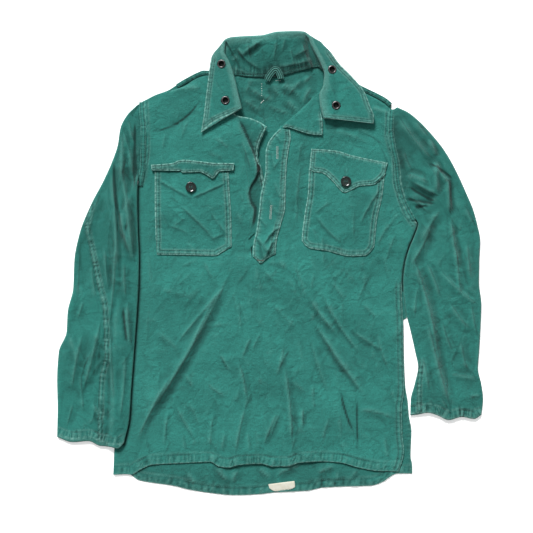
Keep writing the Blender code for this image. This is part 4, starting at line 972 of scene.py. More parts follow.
def front_patch(part, columns, rows):
    left = part == "left"
    top = FRONT_TOP_LEFT if left else FRONT_TOP_RIGHT
    slit_side = SLIT_LEFT if left else SLIT_RIGHT
    hem_from = FRONT_HEM[0][0] if left else SLIT_HEM
    hem_to = SLIT_HEM if left else FRONT_HEM[-1][0]
    across = even_with_edges(columns, FRONT_HALF[0])
    up = even_with_edges(rows, FRONT_HALF[1])

    def place(column, row):
        u, v = across[column], up[row]
        hem_x, top_x = mix(hem_from, hem_to, u), mix(top[0][0], top[-1][0], u)
        y = mix(curve(FRONT_HEM, hem_x), curve(top, top_x), v)
        foot = mix(SLIT_HEM, SLIT_RIGHT[0][1], (y - FRONT_HEM[0][1]) / 390)
        foot = np.clip(foot, SLIT_RIGHT[0][1], SLIT_HEM)
        slit = np.where(y < SLIT_FOOT + 2, foot, curve(slit_side, y))
        left_x, right_x = curve(LEFT_EDGE, y), curve(RIGHT_EDGE, y)
        x = mix(left_x, slit, u) if left else mix(slit, right_x, u)
        z, wear = front_top(x, y, part)
        seam_z, seam_wear, seam_shade = all_seams(x, y, FRONT_SEAMS)
        gap = np.minimum(x - left_x, right_x - x)
        gap = np.minimum(gap, np.minimum(y - curve(FRONT_HEM, x), curve(top, x) - y))
        gap = np.minimum(gap, np.where(y > SLIT_FOOT + 8, np.abs(x - slit), 99))
        z = z + seam_z
        # Painted shade of the seams, and painted shadow beside the sleeves.
        deep = seam_shade + sleeve_shadow(x, y)
        return x, y, z, wear + seam_wear, deep, rounded(np.maximum(gap, 0)), x, y

    return columns, rows, place


def back_patch(columns, rows):
    across = even_with_edges(columns, BACK_SIZE[0])
    up = even_with_edges(rows, BACK_SIZE[1])

    def place(column, row):
        u, v = across[column], up[row]
        hem_x = mix(BACK_HEM[0][0], BACK_HEM[-1][0], u)
        top_x = mix(BACK_TOP[0][0], BACK_TOP[-1][0], u)
        top_y = curve(BACK_TOP, top_x) + UNDER_STAND * smooth((105 - np.abs(top_x - 13)) / 20)
        y = mix(curve(BACK_HEM, hem_x), top_y, v)
        left_x, right_x = curve(LEFT_EDGE, y), curve(BACK_RIGHT_EDGE, y)
        spare = smooth((y + 103) / 5) * smooth((100 - y) / 15)
        right_x = right_x + SPARE * spare
        x = mix(left_x, right_x, u)
        rise, worn = creased(x, y, NECK_CREASES + TAIL_CREASES + BACK_SMALL, 1.6)
        seam_z, seam_wear, seam_shade = all_seams(x, y, BACK_SEAMS)
        free = smooth((-340 - y) / 20) + smooth((y - 235) / 12) * smooth((90 - np.abs(x - 15)) / 20)
        free = free * (1 - smooth((y - 330) / 8))
        fine = np.maximum(crumple(x, y, 21, 0.6), -0.2)
        seam_z = np.maximum(seam_z, 0) * np.minimum(free, 1)
        z = WALL + free * (np.maximum(rise, -0.1) + fine) + seam_z
        gap = np.minimum(x - left_x, right_x - x)
        gap = np.minimum(gap, np.minimum(y - curve(BACK_HEM, x), (1 - v) * BACK_SIZE[1]))
        # Painted shade inside the neck, on the tail and in the gap beside the front under the right
        # sleeve.
        deep = seam_shade + np.where(y > 200, NECK_SHADE, TAIL_SHADE) + 1.3 * spare * (y > -50)
        worn = worn + 0.7 * spare * bell(right_x - x, 1.5) * (y < -50)
        return x, y, z, worn + seam_wear, deep, rounded(np.maximum(gap, 0)), x, y

    return columns, rows, place


def body_cover(x, y):
    """1 where the left sleeve lies over the body, 0 where it lies on the surface."""
    return smooth((x - curve(LEFT_EDGE, y) + 17) / 13) * smooth((162 - y) / 12)


def turned_side(distance):
    """How far a round side has turned at a distance from a sleeve's edge, 0 to 1."""
    reach = np.clip(distance / SLEEVE_ROUND, 0, 1)
    return np.sqrt(1 - (1 - reach) ** 2)


def sleeve_patch(sleeve, columns, rows):
    """A flattened tube: from its inner edge over the top to the outer one, and back underneath."""
    table, seed = sleeve.table, sleeve.seed
    round_side = np.array([0, 0.12, 0.45, 1.0, 1.8, 2.7, SLEEVE_ROUND])
    width, length = SLEEVE_SIZE
    edge = round_side / width
    top_count = columns * 3 // 5 - len(edge) * 2 + 1
    under_count = columns - columns * 3 // 5 - len(edge) * 2 + 2
    between = np.linspace(edge[-1], 1 - edge[-1], top_count + 2)[1:-1]
    top = np.concatenate([edge, between, 1 - edge[::-1]])[::-1]
    between = np.linspace(edge[-1], 1 - edge[-1], under_count + 2)[1:-1]
    under = np.concatenate([edge[1:], between, 1 - edge[::-1]])
    ring = np.concatenate([top, under])
    below = np.arange(len(ring)) >= len(top)

    def place(column, row):
        t, bottom = ring[column], below[column]
        s = row / rows
        outer_x, outer_y = curve(table, s, 1), curve(table, s, 2)
        inner_x, inner_y = curve(table, s, 3), curve(table, s, 4)
        wide = np.hypot(outer_x - inner_x, outer_y - inner_y)
        from_side = np.minimum(np.where(t < 0.5, t, 1 - t) * width / wide, 0.5)
        t = np.where(t < 0.5, from_side, 1 - from_side)
        x, y = mix(outer_x, inner_x, t), mix(outer_y, inner_y, t)
        y = y - curve(sleeve.cuff, t) * smooth((s - 0.85) / 0.15)
        closed = s >= sleeve.underarm
        turned = turned_side(t * wide) * np.where(closed, turned_side((1 - t) * wide), 1.0)
        loose = smooth(t * wide / 16) * np.where(closed, smooth((1 - t) * wide / 16), 1.0)
        rise, worn = creased(x, y, sleeve.creases, 1.55)
        worn = np.where(worn > 0, 0.35 * worn, worn)
        high = SLEEVE_HEIGHT + SLEEVE_SWELL * np.sin(np.pi * t) * smooth(s / 0.1)
        rise = rise + crumple(x, y, seed, 1.25) + 1.4 * swell(x, y, seed)
        high = high + rise * smooth((1 - s) / 0.06) * loose
        seam_z, seam_wear, seam_shade = all_seams(x, y, sleeve.seams)
        high = np.maximum(high - 2.0 * smooth((s - 0.88) / 0.12) + seam_z * turned, SLEEVE_LOWEST)
        low = SLEEVE_SIDE * (1 - turned)
        z = np.where(bottom, low, SLEEVE_SIDE + (high - SLEEVE_SIDE) * turned)
        if sleeve.covers_body:
            z = z + BODY_LIFT * body_cover(x, y)
        wear = np.where(bottom, 0.0, (worn + seam_wear) * turned)
        wear = wear + 0.12 * (1 - turned) + 0.5 * smooth((s - 0.993) / 0.007)
        # Painted shade on the sleeve by its inner edge near the armhole, where it lies in the hollow
        # beside the body, over a sleeve painted darker all over.
        beside = bell((1 - t) * wide - 6, 9) * smooth((s - 0.02) / 0.04) * smooth((0.3 - s) / 0.06)
        deep = np.where(bottom, 0.0, seam_shade) + SLEEVE_SHADE + 0.4 * beside
        around = np.where(bottom, -t * wide, t * wide)
        return x, y, z, wear, deep, np.zeros_like(x), around, s * length

    return len(ring) - 1, rows, place


def collar_row(k):
    """Seam, fold and outer edge of the collar at places 0 to 1 along it."""
    rows = [(i / (len(COLLAR) - 1), *row) for i, row in enumerate(COLLAR)]
    values = np.column_stack([curve(rows, k, column) for column in range(1, 10)])
    return values[:, 0:3], values[:, 3:6], values[:, 6:9]


STAND_STEPS, FOLD_STEPS, FALL_STEPS = 26, 10, 30
FALL_STEP = 1.6             # length of one step of the fall


def collar_points(k, across, above=COLLAR_WALL / 2):
    """Points on the collar. across counts steps from the neck seam over the fold to the edge."""
    seam, fold, edge = collar_row(k)
    before, after = collar_row(np.maximum(k - 0.01, 0.0)), collar_row(np.minimum(k + 0.01, 1.0))
    along = unit(after[1] - before[1])
    out = -(unit(seam - fold) + unit(edge - fold))
    out = unit(out - along * np.sum(out * along, axis=1, keepdims=True))
    turn = np.cross(out, along)
    centre = fold - out * FOLD_RADIUS
    radius = FOLD_RADIUS + above
    angle = np.clip((across - STAND_STEPS) / FOLD_STEPS, 0, 1)[:, None] * np.pi
    arc = centre - turn * radius * np.cos(angle) + out * radius * np.sin(angle)
    stand_t = np.clip(across / STAND_STEPS, 0, 1)[:, None]
    fall_t = np.clip((across - STAND_STEPS - FOLD_STEPS) / FALL_STEPS, 0, 1)[:, None]
    stand = mix(seam - turn * above, centre - turn * radius, stand_t)
    fall = mix(centre + turn * radius, edge + turn * above, fall_t)
    points = np.where(across[:, None] < STAND_STEPS, stand, arc)
    return np.where(across[:, None] > STAND_STEPS + FOLD_STEPS, fall, points)


def collar_patch(stations):
    steps = STAND_STEPS + FOLD_STEPS + FALL_STEPS

    def place(column, row):
        k = column / stations
        across = row.astype(float)
        points = collar_points(k, across)
        x, y, z = points[:, 0], points[:, 1], points[:, 2]
        stand = smooth((STAND_STEPS - across) / 5)
        fall = smooth((across - STAND_STEPS - FOLD_STEPS) / 5)
        rise_in, worn_in = creased(x, y, STAND_CREASES, 1.35)
        rise_out, worn_out = creased(x, y, LEAF_CREASES, 1.2)
        seam_in = all_seams(x, y, [STAND_SEAM])
        seam_out = all_seams(x, y, LEAF_SEAMS)
        fine = np.maximum(crumple(x, y, 40, 0.55), -0.35)
        z = z + stand * (rise_in + fine + seam_in[0]) + fall * (rise_out + fine + seam_out[0])
        wear = stand * (worn_in + seam_in[1]) + fall * (worn_out + seam_out[1])
        wear = wear + 0.35 * (1 - stand) * (1 - fall)
        wear = wear + 0.8 * np.maximum(bell(k, 0.003), bell(1 - k, 0.003))
        # Painted shade on the stand, with the hanger loop's painted shadow on it.
        loop_shadow = 1.0 * bell(x - 9, 19) * bell(y - LOOP["foot"] - 6, 15)
        deep = stand * (seam_in[2] + STAND_SHADE + loop_shadow) + fall * seam_out[2]
        gap = np.minimum((steps - across) * FALL_STEP, np.minimum(k, 1 - k) * COLLAR_LENGTH)
        return x, y, z, wear, deep, 0.6 * rounded(gap), k * COLLAR_LENGTH, across * 2

    return stations, steps, place


def beside(path, run, row, offset):
    """x and y at a distance to the left of the points of a path."""
    return path[row, 0] - run[row, 1] * offset, path[row, 1] + run[row, 0] * offset


STRIP_STEPS = 10            # across a felled strip
STRIP_PITCH = 2.2           # length of one step along it


def strip_patch(points, width, top, dome, seed=31):
    """A narrow felled strip along a path. top is its height, or points give their own."""
    path = smooth_path([point[:2] for point in points], STRIP_PITCH)
    if len(points[0]) == 3:
        rows = [(y, height) for _, y, height in sorted(points, key=lambda point: point[1])]
        top = curve(rows, path[:, 1])
    else:
        top = np.full(len(path), float(top))
    run = unit(np.gradient(path, axis=0))

    def place(column, row):
        t = column / STRIP_STEPS - 0.5
        along = row * STRIP_PITCH
        x, y = beside(path, run, row, t * width)
        wave = pucker_wave(along, 6.5, seed)
        waist = bell(np.abs(t) - 0.25, 0.1)
        z = top[row] - dome * 4 * t * t + 0.35 * wave - 0.35 * waist
        # Worn on the puckers' crests and at the edges; painted shade in the puckers' hollows and in
        # the grooves of the stitch rows.
        wear = 0.16 * np.clip(wave, 0, 1) + 0.35 * smooth((np.abs(t) - 0.4) / 0.1)
        deep = 0.3 * np.clip(-wave, 0, 1) + 0.75 * waist
        return x, y, z, wear, deep, 0.6 * rounded((0.5 - np.abs(t)) * width), x, y

    return STRIP_STEPS, len(path) - 1, place


LOOP = {
    "tape": 11.0,
    "path": [(-5, 328), (-2.5, 333), (2.5, 340), (7.5, 345.5), (11, 346.8), (14.7, 344.6),
             (17.5, 339.5), (19.7, 334), (20.3, 330)],
    "foot": 333.5, "foot_height": 6.0, "lean": 0.24}


def loop_patch():
    """The hanger tape bent into a loop, with ribs along it."""
    path = smooth_path(LOOP["path"], 1.4)
    run = unit(np.gradient(path, axis=0))
    columns = 28

    def place(column, row):
        t = column / columns - 0.5
        x, y = beside(path, run, row, t * LOOP["tape"])
        rib = -np.cos(t * 2 * np.pi * 3)
        z = LOOP["foot_height"] + (y - LOOP["foot"]) * LOOP["lean"] + 2.2 + 0.45 * rib
        drop = 0.5 * rounded((0.5 - np.abs(t)) * LOOP["tape"])
        # Lighter over all and most on the ribs' crests; painted shade in the grooves between the ribs.
        wear = 0.1 + 0.45 * np.clip(rib, 0, 1)
        return x, y, z, wear, 1.8 * smooth(0.1 - rib), drop, t * LOOP["tape"], row * 2.0

    return columns, len(path) - 1, place


def label_patch(columns, rows):
    across = even_with_edges(columns, LABEL_SIZE[0])
    up = even_with_edges(rows, LABEL_SIZE[1])

    def place(column, row):
        x, y = in_panel(LABEL, across[column], up[row])
        z = LAYER + LABEL_WALL + GAP + 0.3 * patchy(x, y, 13, 91)
        z = z + 0.5 * bell(x - 30, 6) * bell(y + 396, 6)
        zero = np.zeros_like(x)
        return x, y, z, zero, zero, 0.6 * rounded(edge_gap(LABEL, x, y)), x, y

    return columns, rows, place


DISC_STEPS = 6


def disc_patch(point, normal, radius, depth):
    """A near-black disc below an eyelet, where the collar's under ply lies: painted shade seen through
    the hole.
    """
    centre = point + normal * depth

    def place(column, row):
        x = (column / DISC_STEPS - 0.5) * 2 * radius
        y = (row / DISC_STEPS - 0.5) * 2 * radius
        round_x = x * np.sqrt(1 - y ** 2 / radius ** 2 / 2)
        round_y = y * np.sqrt(1 - x ** 2 / radius ** 2 / 2)
        z = centre.z - (normal.x * round_x + normal.y * round_y) / normal.z
        zero = np.zeros_like(x)
        return centre.x + round_x, centre.y + round_y, z, zero, zero, zero, round_x, round_y

    return DISC_STEPS, DISC_STEPS, place


def pierce(button, place):
    """Cut a button's four thread holes through it."""
    bm = bmesh.new()
    for side_x in (-BUTTON_HOLES, BUTTON_HOLES):
        for side_y in (-BUTTON_HOLES, BUTTON_HOLES):
            made = bmesh.ops.create_cone(bm, cap_ends=True, segments=16, radius1=1.0, radius2=1.0,
                                         depth=9.0)
            bmesh.ops.translate(bm, verts=made["verts"], vec=place + Vector((side_x, side_y, 2)))
    drill = in_metres("holes", bm)
    cut = button.modifiers.new("holes", 'BOOLEAN')
    cut.operation = 'DIFFERENCE'
    cut.solver = 'EXACT'
    cut.object = drill
    result = button.evaluated_get(bpy.context.evaluated_depsgraph_get())
    pierced = bpy.data.meshes.new_from_object(result)
    button.modifiers.clear()
    whole, button.data = button.data, pierced
    used = drill.data
    bpy.data.objects.remove(drill)
    for mesh in (whole, used):
        bpy.data.meshes.remove(mesh)
    pierced.name = button.name
    pierced.set_sharp_from_angle(angle=math.radians(50))

# ---------------------------------------------------------------- thread


def surface_of(piece):
    """The piece's surface in the drawing's millimetres, to place thread on."""
    bm = bmesh.new()
    bm.from_mesh(piece.data)
    bmesh.ops.scale(bm, verts=bm.verts, vec=(1 / MM, 1 / MM, 1 / MM))
    bmesh.ops.translate(bm, verts=bm.verts, vec=(-SHIFT[0], -SHIFT[1], 0))
    tree = BVHTree.FromBMesh(bm)
    bm.free()
    return tree


def row_places(path, offset, pitch):
    """Places and directions at even steps along a line beside a path."""
    path = smooth_path(path, pitch)
    run = unit(np.gradient(path, axis=0))
    places = path + np.column_stack([-run[:, 1], run[:, 0]]) * offset
    signed, _, _ = from_path(places[:, 0], places[:, 1], path)
    kept = np.abs(signed - offset) < 0.7
    return places[kept], run[kept]


def stitch(bm, tree, place, run, length, width, height=0.34, across=False):
    """One stitch: a small bead of thread, half sunk into the cloth."""
    hit, normal, _, _ = tree.ray_cast(Vector((*place, 100.0)), Vector((0, 0, -1)))
    if hit is None or normal.z < 0.15:
        return
    ahead = Vector((run[0], run[1], 0))
    ahead = (ahead - normal * ahead.dot(normal)).normalized()
    side = normal.cross(ahead)
    if across:
        ahead, side = side, ahead
    turn = Matrix((ahead * length / 2, side * width / 2, normal * height)).transposed().to_4x4()
    turn.translation = hit + normal * height * 0.2
    bmesh.ops.create_icosphere(bm, subdivisions=1, radius=1.0, matrix=turn)


def sew(name, piece, seams, lines=(), length=2.3, pitch=3.3, width=0.8, across=False,
        material_name="cotton thread", low=-1e9):
    """Stitches on a piece, along the rows of its seams or along lines of points."""
    tree = surface_of(piece)
    bm = bmesh.new()
    rows = [(seam.path, offset) for seam in seams for offset in seam.rows]
    rows += [(line, 0.0) for line in lines]
    for path, offset in rows:
        places, runs = row_places(path, offset, pitch)
        for number, (place, run) in enumerate(zip(places, runs)):
            drift = 0.18 * math.sin(number * 2.4) + 0.12 * math.sin(number * 0.61)
            place = (place[0] - run[1] * drift, place[1] + run[0] * drift)
            if place[1] > low:
                stitch(bm, tree, place, run, length, width, across=across)
    if not bm.faces:
        raise RuntimeError(f"no stitches of {name} lie on {piece.name}")
    stitches = finished(name, bm, material_name)
    return stitches


# ---------------------------------------------------------------- turned pieces


def turned_profile(profile, segments, closed=True):
    """Spin a profile of radius and height round the Z axis."""
    bm = bmesh.new()
    verts = [bm.verts.new((radius, 0, z)) for radius, z in profile]
    edges = [bm.edges.new(pair) for pair in zip(verts, verts[1:])]
    if closed:
        edges.append(bm.edges.new((verts[-1], verts[0])))
    bmesh.ops.spin(bm, geom=verts + edges, axis=(0, 0, 1), cent=(0, 0, 0), angle=2 * math.pi,
                   steps=segments, use_merge=True)
    bmesh.ops.remove_doubles(bm, verts=bm.verts, dist=0.0005)
    bmesh.ops.recalc_face_normals(bm, faces=bm.faces)
    return bm


def stand_on(bm, place, normal):
    turn = Vector((0, 0, 1)).rotation_difference(normal).to_matrix()
    bmesh.ops.rotate(bm, verts=bm.verts, cent=(0, 0, 0), matrix=turn)
    bmesh.ops.translate(bm, verts=bm.verts, vec=place)


def leaf_seat(x, y):
    """Point and upward normal of the collar's leaf above a place in plan."""
    first = STAND_STEPS + FOLD_STEPS + 1
    k, across = np.meshgrid(np.linspace(0, 1, 401), np.linspace(first, first + FALL_STEPS - 2, 60))
    k, across = k.ravel(), across.ravel()
    points = collar_points(k, across, 0.0)
    best = int(np.argmin(np.hypot(points[:, 0] - x, points[:, 1] - y)))
    around = np.array([k[best] - 0.02, k[best] + 0.02, k[best], k[best]]).clip(0, 1)
    steps = across[best] + np.array([0, 0, -3.0, 3.0])
    ring = collar_points(around, steps, 0.0)
    normal = Vector(np.cross(ring[1] - ring[0], ring[3] - ring[2])).normalized()
    if normal.z < 0:
        normal = -normal
    point = Vector(points[best])
    point.z -= (normal.x * (x - point.x) + normal.y * (y - point.y)) / normal.z
    return Vector((x, y, point.z)), normal


# ---------------------------------------------------------------- finishes


def node(tree, kind, values=None, **settings):
    """A shader node with its settings and its unlinked inputs."""
    made = tree.nodes.new(kind)
    for label, value in settings.items():
        setattr(made, label, value)
    for label, value in (values or {}).items():
        made.inputs[label].default_value = value
    return made


def new_group(name, inputs, outputs):
    """An empty node group with its sockets: label, kind and default of each."""
    tree = bpy.data.node_groups.new(name, 'ShaderNodeTree')
    for side, sockets in (('INPUT', inputs), ('OUTPUT', outputs)):
        for label, kind, default in sockets:
            socket = tree.interface.new_socket(label, in_out=side, socket_type=kind)
            if default is not None:
                socket.default_value = default
    return tree, tree.nodes.new('NodeGroupInput').outputs, tree.nodes.new('NodeGroupOutput').inputs


def math_node(tree, operation, first, second, clamp=False):
    made = node(tree, 'ShaderNodeMath', operation=operation, use_clamp=clamp)
    for socket, value in zip(made.inputs, (first, second)):
        if isinstance(value, (int, float)):
            socket.default_value = value
        else:
            tree.links.new(value, socket)
    return made.outputs[0]


def mix_node(tree, factor, first, second, kind='MIX'):
    made = node(tree, 'ShaderNodeMix', data_type='RGBA', blend_type=kind)
    sockets = (made.inputs[0], made.inputs[6], made.inputs[7])
    for socket, value in zip(sockets, (factor, first, second)):
        if isinstance(value, (int, float, tuple)):
            socket.default_value = value
        else:
            tree.links.new(value, socket)
    return made.outputs[2]


def scaled(tree, value, factor, plus):
    """value times factor, plus a constant or another value."""
    return math_node(tree, 'ADD', plus, math_node(tree, 'MULTIPLY', value, factor))


def object_place(tree):
    return node(tree, 'ShaderNodeTexCoord').outputs["Object"]


def attribute(tree, name, output):
    return node(tree, 'ShaderNodeAttribute', attribute_name=name).outputs[output]


def noise(tree, vector, scale, detail=3.0, rough=0.55, low=0.0, high=1.0):
    """Noise brought to 0 to 1 between two of its own values."""
    made = node(tree, 'ShaderNodeTexNoise', {"Scale": scale, "Detail": detail, "Roughness": rough})
    tree.links.new(vector, made.inputs["Vector"])
    spread = node(tree, 'ShaderNodeMapRange', {"From Min": low, "From Max": high})
    tree.links.new(made.outputs["Fac"], spread.inputs["Value"])
    return spread.outputs["Result"]


def weave_group():
    """Twill of the cloth, the unevenness of its yarns, and its fine creases and crumpling."""
    name = "cotton weave"
    if name in bpy.data.node_groups:
        return bpy.data.node_groups[name]
    tree, inputs, outputs = new_group(name, [("Crumple", 'NodeSocketFloat', 0.5)], [
        ("Height", 'NodeSocketFloat', None), ("Yarn", 'NodeSocketFloat', None),
        ("Patch", 'NodeSocketFloat', None), ("Crease", 'NodeSocketFloat', None)])
    grain = attribute(tree, "grain", "Vector")
    place = object_place(tree)
    twill = node(tree, 'ShaderNodeTexWave', {"Scale": 0.62, "Distortion": 0.5, "Detail": 1.0,
                                            "Detail Scale": 0.5}, bands_direction='DIAGONAL')
    tree.links.new(grain, twill.inputs["Vector"])
    slub = noise(tree, grain, 0.42, 4.0, 0.7, 0.28, 0.72)
    fine = noise(tree, place, 140.0, 3.0, 0.6, 0.3, 0.7)
    broad = noise(tree, place, 26.0, 3.0, 0.55, 0.3, 0.7)
    bend = node(tree, 'ShaderNodeTexNoise', {"Scale": 22.0, "Detail": 2.0})
    tree.links.new(place, bend.inputs["Vector"])
    shift = node(tree, 'ShaderNodeVectorMath', operation='SCALE')
    tree.links.new(bend.outputs["Color"], shift.inputs[0])
    shift.inputs["Scale"].default_value = 0.035
    bent = node(tree, 'ShaderNodeVectorMath', operation='ADD')
    tree.links.new(place, bent.inputs[0])
    tree.links.new(shift.outputs[0], bent.inputs[1])
    creases = None
    for scale, low, high in ((24.0, 0.45, 0.62), (46.0, 0.42, 0.6)):
        cells = node(tree, 'ShaderNodeTexVoronoi', {"Scale": scale}, feature='DISTANCE_TO_EDGE')
        tree.links.new(bent.outputs[0], cells.inputs["Vector"])
        line = node(tree, 'ShaderNodeMapRange', {"From Min": 0.0, "From Max": 0.13, "To Min": 1.0,
                                                "To Max": 0.0}, interpolation_type='SMOOTHSTEP')
        tree.links.new(cells.outputs["Distance"], line.inputs["Value"])
        where = noise(tree, place, scale * 0.55, 2.0, 0.5, low, high)
        line = math_node(tree, 'MULTIPLY', line.outputs["Result"], where)
        creases = math_node(tree, 'ADD', creases, line) if creases else line
    height = scaled(tree, slub, 0.3, math_node(tree, 'MULTIPLY', twill.outputs["Fac"], 0.16))
    folds = math_node(tree, 'SUBTRACT', fine, math_node(tree, 'MULTIPLY', creases, 0.45))
    folds = math_node(tree, 'MULTIPLY', folds, inputs["Crumple"])
    tree.links.new(math_node(tree, 'ADD', height, folds), outputs["Height"])
    tree.links.new(slub, outputs["Yarn"])
    tree.links.new(broad, outputs["Patch"])
    tree.links.new(creases, outputs["Crease"])
    return tree


def wash_group():
    """Colour of washed cloth: worn along seams and ridges, with its own uneven tone, and painted shade
    in hollows and creases, partly dye that stayed there.
    """
    name = "washed colour"
    if name in bpy.data.node_groups:
        return bpy.data.node_groups[name]
    tree, inputs, outputs = new_group(name, [
        ("Cloth", 'NodeSocketColor', (0.04, 0.22, 0.18, 1)),
        ("Worn", 'NodeSocketColor', (0.2, 0.5, 0.4, 1)),
        ("Deep", 'NodeSocketColor', (0.01, 0.09, 0.07, 1)), ("Yarn", 'NodeSocketFloat', 0.5),
        ("Patch", 'NodeSocketFloat', 0.5), ("Crease", 'NodeSocketFloat', 0.0)],
        [("Colour", 'NodeSocketColor', None)])
    worn, deep = attribute(tree, "wear", "Fac"), attribute(tree, "deep", "Fac")
    worn = math_node(tree, 'MULTIPLY', worn, scaled(tree, inputs["Yarn"], 1.1, 0.45))
    worn = math_node(tree, 'MULTIPLY', worn, 0.75, clamp=True)
    # Painted shade along the fine creases.
    deep = scaled(tree, inputs["Crease"], 0.16, deep)
    deep = math_node(tree, 'MULTIPLY', deep, 0.85, clamp=True)
    tone = math_node(tree, 'MULTIPLY', scaled(tree, inputs["Yarn"], 0.4, 0.8),
                     scaled(tree, inputs["Patch"], 0.2, 0.9))
    grey = node(tree, 'ShaderNodeCombineColor')
    for socket in grey.inputs:
        tree.links.new(tone, socket)
    colour = mix_node(tree, 1.0, inputs["Cloth"], grey.outputs[0], 'MULTIPLY')
    colour = mix_node(tree, deep, colour, inputs["Deep"])
    colour = mix_node(tree, worn, colour, inputs["Worn"])
    tree.links.new(colour, outputs["Colour"])
    return tree


def new_material(name, roughness, **constants):
    """An empty material and its shader. Constants go straight to the shader's sockets."""
    material = bpy.data.materials.new(name)
    material.use_nodes = True
    tree = material.node_tree
    shader = tree.nodes["Principled BSDF"]
    shader.inputs["Roughness"].default_value = roughness
    for label, value in constants.items():
        shader.inputs[label.replace("_", " ")].default_value = value
    return tree, shader


def bump(tree, shader, height, distance):
    made = node(tree, 'ShaderNodeBump', {"Distance": distance, "Strength": 1.0})
    tree.links.new(height, made.inputs["Height"])
    tree.links.new(made.outputs["Normal"], shader.inputs["Normal"])


def toned(colour, *shares):
    """A colour with all its parts, or each of them, multiplied by a share."""
    shares = shares * 3 if len(shares) == 1 else shares
    return tuple(part * share for part, share in zip(colour, shares))


def two_tone(tree, shader, mask, first, second):
    """Mottle a shader's colour from one tone to another."""
    colour = mix_node(tree, mask, (*first, 1), (*second, 1))
    tree.links.new(colour, shader.inputs["Base Color"])


def cloth_material(name, cloth_colour, worn_colour, shade_and_tone_colour, crumple_share=0.5):
    if name in bpy.data.materials:
        return
    tree, shader = new_material(name, 0.93, Sheen_Weight=0.12, Sheen_Roughness=0.5,
                                Specular_IOR_Level=0.25)
    weave = node(tree, 'ShaderNodeGroup', node_tree=weave_group())
    weave.inputs["Crumple"].default_value = crumple_share
    wash = node(tree, 'ShaderNodeGroup', node_tree=wash_group())
    for label, colour in (("Cloth", cloth_colour), ("Worn", worn_colour), ("Deep", shade_and_tone_colour)):
        wash.inputs[label].default_value = (*colour, 1)
    for label in ("Yarn", "Patch", "Crease"):
        tree.links.new(weave.outputs[label], wash.inputs[label])
    tree.links.new(wash.outputs["Colour"], shader.inputs["Base Color"])
    bump(tree, shader, weave.outputs["Height"], 0.0015)


def thread_material(name, colour):
    """Sewing thread: two plies twisted, uneven in tone."""
    if name in bpy.data.materials:
        return
    tree, shader = new_material(name, 0.8, Sheen_Weight=0.1, Specular_IOR_Level=0.3)
    place = object_place(tree)
    cloud = noise(tree, place, 300.0, 2.0, 0.5, 0.3, 0.7)
    two_tone(tree, shader, cloud, toned(colour, 0.6), colour)
    bump(tree, shader, noise(tree, place, 1800.0, 1.0), 0.0001)


def button_material(colour):
    tree, shader = new_material("dark button", 0.22, Coat_Weight=0.3, Coat_Roughness=0.12)
    place = object_place(tree)
    pale = tuple(part * 3.2 + 0.004 for part in colour)
    cloud = noise(tree, place, 260.0, 4.0, 0.6, 0.3, 0.75)
    two_tone(tree, shader, cloud, colour, pale)
    scuffs = noise(tree, place, 1400.0, 2.0, 0.6, 0.35, 0.65)
    tree.links.new(scaled(tree, scuffs, 0.14, 0.1), shader.inputs["Roughness"])
    bump(tree, shader, scuffs, 0.00004)


def metal_material(colour):
    tree, shader = new_material("eyelet steel", 0.34, Metallic=1.0)
    tarnish = noise(tree, object_place(tree), 420.0, 4.0, 0.65, 0.35, 0.65)
    two_tone(tree, shader, tarnish, toned(colour, 0.32), colour)
    tree.links.new(scaled(tree, tarnish, 0.2, 0.26), shader.inputs["Roughness"])
    bump(tree, shader, tarnish, 0.00006)


def label_material(colour):
    tree, shader = new_material("pale label", 0.7, Sheen_Weight=0.1, Specular_IOR_Level=0.3)
    grain = attribute(tree, "grain", "Vector")
    rib = node(tree, 'ShaderNodeTexWave', {"Scale": 0.5, "Distortion": 0.3}, bands_direction='X')
    tree.links.new(grain, rib.inputs["Vector"])
    soil = noise(tree, grain, 0.12, 4.0, 0.6, 0.35, 0.8)
    two_tone(tree, shader, soil, colour, toned(colour, 0.86, 0.84, 0.74))
    bump(tree, shader, rib.outputs["Fac"], 0.0002)


def make_materials():
    """Every finish of the shirt, from the colours in its settings."""
    shirt = bpy.context.scene.shirt_settings
    for name, crumple_share in (("washed cotton", 0.5), ("ribbed tape", 0.2)):
        cloth_material(name, shirt.cloth_colour, shirt.worn_colour, shirt.shade_and_tone_colour,
                       crumple_share)
    for name, colour in (("cotton thread", shirt.thread_colour),
                         ("shadowed cloth", (0.001, 0.005, 0.004)),
                         ("pale thread", shirt.pale_thread_colour),
                         ("tack thread", shirt.tack_colour),
                         ("buttonhole thread", shirt.buttonhole_colour)):
        thread_material(name, colour)
    for name, make, colour in (("dark button", button_material, shirt.button_colour),
                               ("eyelet steel", metal_material, shirt.metal_colour),
                               ("pale label", label_material, shirt.label_colour)):
        if name not in bpy.data.materials:
            make(tuple(colour))

# ---------------------------------------------------------------- settings


def colour_setting(name, text, default):
    return bpy.props.FloatVectorProperty(name=name, description=text, subtype='COLOR', size=3,
                                         min=0, max=1, default=default)


def length_setting(name, text, least, most, default):
    return bpy.props.FloatProperty(name=name, description=text, subtype='DISTANCE',
                                   unit='LENGTH', min=least, max=most, default=default)


def strength_setting(name, text, most, default):
    return bpy.props.FloatProperty(name=name, description=text, min=0, max=most, default=default)


